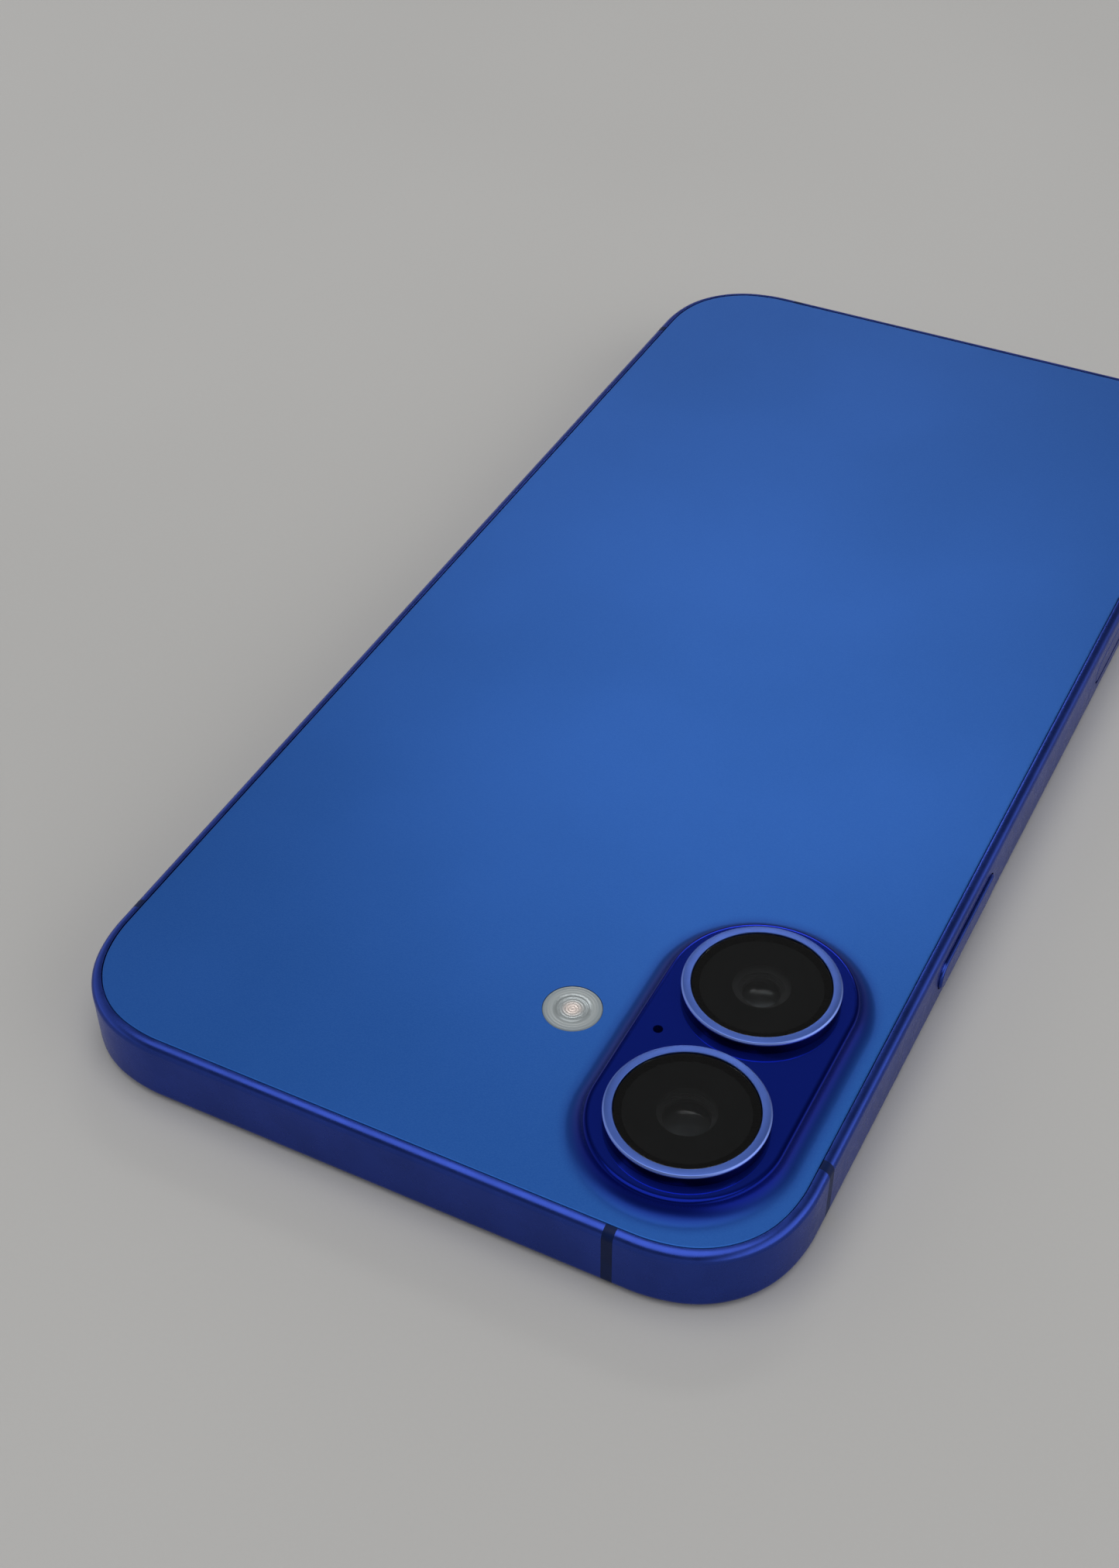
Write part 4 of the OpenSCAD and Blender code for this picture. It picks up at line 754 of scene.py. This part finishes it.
def rolled_metal(name, colour, roughness=0.3, stretch=(0.03, 1, 1), depth=0.003, metallic=1.0):
    """Rolled, drawn or plated metal with fine lines one way."""
    f = Finish(name)
    lines = f.noise(0.08, 2.0, 0.6, stretch)
    return f.surface(
        Base_Color=f.shaded(colour, 0.1, 1.5), Metallic=metallic,
        Roughness=f.fade(lines, 0.2, 0.8, roughness - 0.08, roughness + 0.08),
        Normal=f.bump(lines, depth))


def clear_glass(name, tint, roughness=0.0, ior=1.5, smudge=0.02):
    """Clear glass with the faintest haze on it."""
    f = Finish(name)
    haze = f.fade(f.noise(2.6, 3.0), 0.45, 0.8)
    return f.surface(Base_Color=f.blend(haze, tint, tuple(c * 0.97 for c in tint)),
                     Transmission_Weight=1.0, IOR=ior, Roughness=haze * smudge + roughness)


# ---------- Finishes of the hidden parts ----------

def circuit_board():
    """Solder mask over fine traces, with tinned pads."""
    f = Finish("circuit_board")
    cells = {"feature": "F1", "distance": "CHEBYCHEV"}
    blocks = f.node("ShaderNodeTexVoronoi", cells, {"Vector": f.place, "Scale": 0.55}, out="Color")
    traces = f.node("ShaderNodeTexWave", {"bands_direction": "DIAGONAL"}, {
        "Vector": f.place, "Scale": 0.9, "Distortion": 3.0, "Detail": 2.0, "Detail Scale": 0.6})
    pads = f.node("ShaderNodeTexVoronoi", cells, {
        "Vector": f.place, "Scale": 0.9, "Randomness": 0.55}) < 0.2
    mask = f.blend(f.fade(traces, 0.35, 0.5), (0.004, 0.020, 0.016), (0.008, 0.045, 0.033))
    mask = f.blend(0.12, mask, f.blend(0.7, blocks, (0.01, 0.05, 0.04)))
    return f.surface(Base_Color=f.blend(pads, mask, (0.62, 0.6, 0.52)), Metallic=pads * 0.9,
                     Roughness=f.uneven(0.8, 0.28, 0.4),
                     Normal=f.bump(f.fade(traces, 0.35, 0.5) * 0.5 + pads * 0.5, 0.02))


def flat_cable(name, along):
    """Amber film over copper tracks that run one way."""
    f = Finish(name)
    across = {"x": f.y, "y": f.x, "z": f.z}[along]
    tracks = f.fade(f.waves(across, 0.5), -0.1, 0.1)
    return f.surface(Base_Color=f.blend(tracks, (0.17, 0.075, 0.012),
                                        f.shaded((0.36, 0.17, 0.045), 0.1)),
                     Metallic=tracks * 0.25, Roughness=f.uneven(0.7, 0.26, 0.4),
                     Normal=f.bump(tracks, 0.012))


def woven_mesh(name, colour):
    """Fine woven wire."""
    f = Finish(name)
    weave = [f.waves(axis, 0.16) for axis in (f.x + f.y, f.z)]
    knots = f.fade(weave[0] * weave[1], -0.4, 0.4)
    return f.surface(Base_Color=f.blend(knots, tuple(c * 0.15 for c in colour), colour),
                     Metallic=0.8, Roughness=f.fade(knots, 0, 1, 0.6, 0.35),
                     Normal=f.bump(knots, 0.03))


def wound_copper():
    """Lacquered strands laid side by side round the coil."""
    f = Finish("wound_copper")
    strands = f.fade(f.waves(f.away_from(0, 0), 0.3), -0.8, 0.8)
    return f.surface(Base_Color=f.blend(strands, (0.23, 0.075, 0.03),
                                        f.shaded((0.7, 0.28, 0.13), 0.12)),
                     Metallic=0.9, Roughness=f.uneven(1.2, 0.24, 0.36),
                     Normal=f.bump(strands, 0.03))


def image_sensor():
    """A fine grid of light-sensitive cells inside a dark border, with a shift of colour over it."""
    f = Finish("image_sensor")
    grid = [f.waves(axis, 0.12) > 0.75 for axis in (f.x, f.y)]
    stops = [(0.2, (0.05, 0.02, 0.10)), (0.5, (0.03, 0.07, 0.06)), (0.8, (0.10, 0.04, 0.03))]
    sheen = f.node("ShaderNodeValToRGB", {"stops": stops}, {0: f.noise(2.5)})
    lines = grid[0].maths("MAXIMUM", grid[1])
    return f.surface(Base_Color=f.blend(lines, sheen, (0.01, 0.01, 0.012)), Metallic=0.5,
                     Roughness=f.uneven(1.0, 0.12, 0.2), Normal=f.bump(lines, 0.004))


def cell_wrap():
    """Matt black film with shallow creases round the cell."""
    f = Finish("cell_wrap")
    creases = f.noise(11.0, 4.0, 0.55)
    weave = f.noise(0.25, 2.0)
    return f.surface(Base_Color=f.shaded((0.012, 0.012, 0.014), 0.25, 14.0),
                     Roughness=f.fade(creases, 0.3, 0.7, 0.38, 0.5),
                     Normal=f.bump(creases * 0.9 + weave * 0.1, 0.12))


def dark_front():
    """Black front glass with the unlit display behind it."""
    f = Finish("dark_front")
    border = 15
    over_x, over_y = abs(f.x) - (HALF_W - border), abs(f.y) - (HALF_L - border)
    corner = (over_x.maths("MAXIMUM", 0) ** 2 + over_y.maths("MAXIMUM", 0) ** 2) ** 0.5
    inside = corner.maths("MAXIMUM", over_x.maths("MAXIMUM", over_y))
    lit_area = f.fade(inside, border - 2.95, border - 3.05)
    bar_x = f.node("ShaderNodeClamp", {}, {"Value": f.x, "Min": -7.25, "Max": 7.25})
    window = ((f.x - bar_x) ** 2 + (f.y - FRONT_CAMERA[1]) ** 2) ** 0.5
    island = f.fade(window, 2.98, 2.92)
    camera = f.away_from(*FRONT_CAMERA)
    rings = f.fade(camera, 1.75, 1.65) * f.fade(camera, 0.9, 1.3, 0.35, 1.0)
    panel = f.blend(f.noise(20.0), (0.0045, 0.005, 0.007), (0.006, 0.007, 0.010))
    colour = f.blend(lit_area, (0.0025, 0.0025, 0.003), panel)
    colour = f.blend(island, colour, (0.0015, 0.0015, 0.0018))
    colour = f.blend(rings * 0.8, colour, (0.006, 0.008, 0.022))
    return f.surface(Base_Color=colour, Roughness=f.fade(f.noise(5.0, 3.0), 0.4, 0.8, 0.03, 0.07),
                     Specular_IOR_Level=0.5, Coat_Weight=1.0, Coat_Roughness=0.02,
                     Normal=f.bump(f.noise(30.0), 0.002))


def flash_white():
    """Milky moulded lens: fine rings of a stepped lens round a small raised middle."""
    f = Finish("flash_milky")
    away = f.away_from(*FLASH)
    rings = f.fade(f.waves(away, 0.3), -1, 1)
    step = f.fade(away, 1.95, 1.4)
    colour = f.blend(f.fade(away, 0.3, 1.3), srgb(222, 206, 198), srgb(150, 158, 160))
    colour = f.blend(f.fade(away, 2.2, 3.0), colour, srgb(118, 130, 137))
    return f.surface(Base_Color=f.blend(rings * 0.25, colour, srgb(156, 162, 164)),
                     Metallic=f.fade(away, 2.1, 1.8, 0.0, 0.4), Specular_IOR_Level=0.6,
                     Coat_Weight=0.5, Coat_Roughness=0.05, Roughness=f.uneven(0.3, 0.2, 0.26),
                     Normal=f.bump(step * 0.35 + rings * 0.03, 0.2))


def led_phosphor():
    """White reflector with warm and cool emitters in the middle."""
    f = Finish("led_phosphor")
    chip = (abs(f.x - FLASH[0]).maths("MAXIMUM", abs(f.y - FLASH[1]))) < 0.85
    warm = f.blend((f.x - FLASH[0]) > 0, (0.78, 0.48, 0.10), (0.82, 0.70, 0.28))
    return f.surface(Base_Color=f.blend(chip, f.shaded((0.82, 0.80, 0.76), 0.05), warm),
                     Roughness=f.uneven(0.2, 0.35, 0.5), Normal=f.bump(f.noise(0.1), 0.01))


# ---------- Fitting out ----------

band_finish = anodised("anodised_band", srgb(46, 67, 152))
break_finish = moulded("break_resin", srgb(4, 24, 68), 0.46, Specular_IOR_Level=0.12)
glass_black = moulded("barrel_black", (0.004, 0.004, 0.0045), 0.55, 0.2)
main_optic = clear_glass("coated_element", (0.80, 0.86, 0.92), 0.14, 1.35)
printed_black = moulded("printed_black", (0.004, 0.0045, 0.0045), 0.5, 0.3, 0.001,
                        Specular_IOR_Level=0.1)
sapphire = clear_glass("cover_glass", (0.55, 0.57, 0.58), ior=1.45)

fit(back_panel(), "handset", ["back_glass"], etched_back())
fit(side_band(), "handset", ["frame"], band_finish)
fit(deck_plate(), "handset", [], rolled_metal("milled_deck", srgb(168, 172, 186), 0.36))
fit(moulded_breaks(), "handset", ["antenna_breaks"], break_finish)
fit(display_cover(), "handset", ["display_glass"], dark_front())
fit(flash_window(), "handset", ["flash_lens"], flash_white())
for lens, lens_y, barrel_r in (("main", MAIN_Y, MAIN_BARREL_R), ("wide", WIDE_Y, WIDE_BARREL_R)):
    fit(lens_ring(f"{lens}_ring", lens_y), "handset", [f"{lens}_lens_ring"],
        turned_ring(f"turned_{lens}_ring", lens_y))
    cover = lens_cover(f"{lens}_cover", lens_y)
    fit(cover, "handset", [f"{lens}_lens_cover"], sapphire)
    cover.data.materials.append(printed_black)
    for face in cover.data.polygons:
        at = face.center / MM - Vector((LENS_X, lens_y, COVER_Z))
        face.material_index = int(math.hypot(at.x, at.y) > CLEAR_R and at.z < COVER_T / 2 + 0.1)
    fit(lens_barrel(f"{lens}_barrel", lens_y, barrel_r), f"{lens}_lens", [f"{lens}_lens_barrel"],
        glass_black)
    fit(lens_stack(f"{lens}_elements", lens_y, barrel_r), f"{lens}_lens", [f"{lens}_lens_elements"],
        main_optic)
for name, side, place, proud, travel in (
        ("side_key", -1, SIDE_KEY, KEY_PROUD, KEY_TRAVEL),
        ("camera_control", -1, CAMERA_CONTROL, 0, CONTROL_TRAVEL),
        ("action_key", 1, ACTION_KEY, KEY_PROUD, KEY_TRAVEL),
        ("volume_up_key", 1, VOLUME_UP, KEY_PROUD, KEY_TRAVEL),
        ("volume_down_key", 1, VOLUME_DOWN, KEY_PROUD, KEY_TRAVEL)):
    fit(key_piece(f"{name}_cap", side, place, proud, travel), name, [name],
        band_finish)
fit(smooth_copy("sim_tray", "card_tray"), "sim_tray", ["sim_tray"], band_finish)
fit(smooth_copy("foot_screws", "star_screws"), "handset", ["foot_screws"],
    rolled_metal("star_screw_metal", srgb(96, 108, 176), 0.28, depth=0.002))
fit(smooth_copy("usb_shell", "socket_shell"), "handset", ["usb_shell"],
    rolled_metal("drawn_steel", (0.55, 0.56, 0.58), 0.25, (1, 0.05, 1)))

pressed_steel = rolled_metal("pressed_steel", (0.56, 0.57, 0.59), 0.28)
kept = {
    moulded("butyl_seal", (0.012, 0.012, 0.013), 0.7): ["back_seal", "display_seal"],
    moulded("display_stack", (0.010, 0.011, 0.014), 0.35, 0.5): ["display_panel"],
    woven_mesh("earpiece_weave", (0.10, 0.10, 0.11)): ["earpiece_mesh"],
    woven_mesh("bottom_weave", (0.30, 0.30, 0.32)): ["sound_meshes"],
    rolled_metal("cast_housing", (0.42, 0.42, 0.44), 0.38, (1, 1, 1), 0.01):
        ["main_camera_housing", "wide_camera_housing"],
    image_sensor(): ["camera_sensors"],
    pressed_steel: ["camera_bracket", "key_braces", "sim_reader", "board_shields", "haptic_case",
                    "inner_screws"],
    led_phosphor(): ["flash_module"],
    rolled_metal("plated_can", (0.62, 0.55, 0.38), 0.3): ["rear_microphone", "bottom_microphones"],
    moulded("module_black", (0.020, 0.020, 0.023), 0.45):
        ["front_camera", "face_sensor", "antenna_carrier"],
    moulded("speaker_resin", (0.018, 0.018, 0.020), 0.55, 0.2, 0.01):
        ["earpiece_speaker", "loudspeaker"],
    moulded("switch_resin", (0.55, 0.52, 0.44), 0.4): ["key_switches"],
    flat_cable("side_ribbon", "y"): ["key_flexes"],
    flat_cable("cell_ribbon", "x"): ["battery_flex"],
    flat_cable("upright_ribbon", "y"): ["display_flex", "dock_flex"],
    cell_wrap(): ["battery"],
    moulded("pull_tape", (0.62, 0.62, 0.58), 0.6, 0.6, 0.02): ["battery_tape"],
    circuit_board(): ["logic_board"],
    moulded("chip_epoxy", (0.014, 0.014, 0.015), 0.4, 0.1): ["board_chips"],
    wound_copper(): ["charging_coil"],
    moulded("ferrite_sheet", (0.030, 0.030, 0.032), 0.5, 0.4, 0.01): ["coil_shield"],
    rolled_metal("nickel_plate", (0.55, 0.53, 0.49), 0.22): ["alignment_magnets"],
    rolled_metal("sintered_mass", (0.16, 0.155, 0.15), 0.45, (1, 1, 1), 0.012): ["haptic_mass"],
    moulded("cone_rubber", (0.030, 0.030, 0.034), 0.5, 0.3, 0.02): ["speaker_cone"],
    moulded("tongue_resin", (0.012, 0.012, 0.013), 0.45): ["usb_tongue", "usb_body"],
    rolled_metal("gold_plate", (0.80, 0.53, 0.18), 0.2): ["usb_contacts"],
}
for finish, nodes in kept.items():
    for node in nodes:
        for material_slot in frame["nodes"][node].material_slots:
            material_slot.material = finish


# ---------- Floor, light and camera ----------

BACKDROP = srgb(184, 183, 181)


def plain_floor():
    """Pale paper under the handset."""
    f = Finish("pale_floor")
    fibre = f.noise(0.5, 3.0, 0.6)
    shade = f.blend(f.uneven(160.0, 0.0, 1.0), srgb(180, 179, 177), BACKDROP)
    paper = f.surface(Base_Color=shade, Roughness=f.fade(fibre, 0.2, 0.8, 0.75, 0.9),
                      Normal=f.bump(fibre, 0.01))
    bpy.ops.mesh.primitive_plane_add(size=8, location=(0, 0, -0.00005))
    floor = bpy.context.object
    floor.name = "floor"
    floor.data.materials.append(paper)


def panel(name, place, width, height, power):
    """A flat soft lamp that faces the handset."""
    data = bpy.data.lights.new(name, "AREA")
    data.shape, data.size, data.size_y, data.energy = "RECTANGLE", width, height, power
    lamp = bpy.data.objects.new(name, data)
    bpy.context.scene.collection.objects.link(lamp)
    lamp.location = place
    lamp.rotation_euler = (-lamp.location).to_track_quat("-Z", "Y").to_euler()


def soft_room():
    """A bright wall on one side, a dimmer one on the other, a lighter ceiling and horizon."""
    world = bpy.data.worlds.new("room")
    bpy.context.scene.world = world
    room = Graph(world)
    x, y, z = room.split(room.node("ShaderNodeTexCoord", out="Generated"))
    walls = room.fade(x, -0.5, -0.9, 0.0, 1.3) + room.fade(x, 0.5, 0.9, 0.0, 0.45)
    rising = room.fade(z, 0.0, 0.45, 0.5, 0.18) + room.fade(z, 0.78, 1.0, 0.0, 0.5)
    seen = room.node("ShaderNodeLightPath", out="Is Camera Ray")
    backdrop = room.blend(seen, walls + rising, BACKDROP)
    background = room.node("ShaderNodeBackground", {}, {"Color": backdrop})
    room.node("ShaderNodeOutputWorld", {}, {"Surface": background}, out=None)


def viewing_camera():
    """Looks down on the camera end from over the +Y edge."""
    data = bpy.data.cameras.new("viewing_camera")
    data.sensor_width, data.lens = 36.0, 48.94
    data.shift_x, data.shift_y = 0.01, 0.058
    data.clip_start, data.clip_end = 0.01, 20
    camera = bpy.data.objects.new("viewing_camera", data)
    bpy.context.scene.collection.objects.link(camera)
    camera.location = Vector((-72.2, 183.4, 164.0)) * MM
    ahead = Vector((6.2, 34.9, 0)) * MM - camera.location
    roll = Quaternion((0, 0, 1), math.radians(-0.93))
    camera.rotation_euler = (ahead.to_track_quat("-Z", "Y") @ roll).to_euler()
    bpy.context.scene.camera = camera


plain_floor()
soft_room()
panel("ceiling_panel", (0.1, 0.3, 1.6), 1.8, 1.8, 13.2)
panel("far_panel", (0.55, -1.58, 1.47), 0.8, 0.26, 3.5)
viewing_camera()
bpy.context.scene.view_settings.view_transform = "Standard"
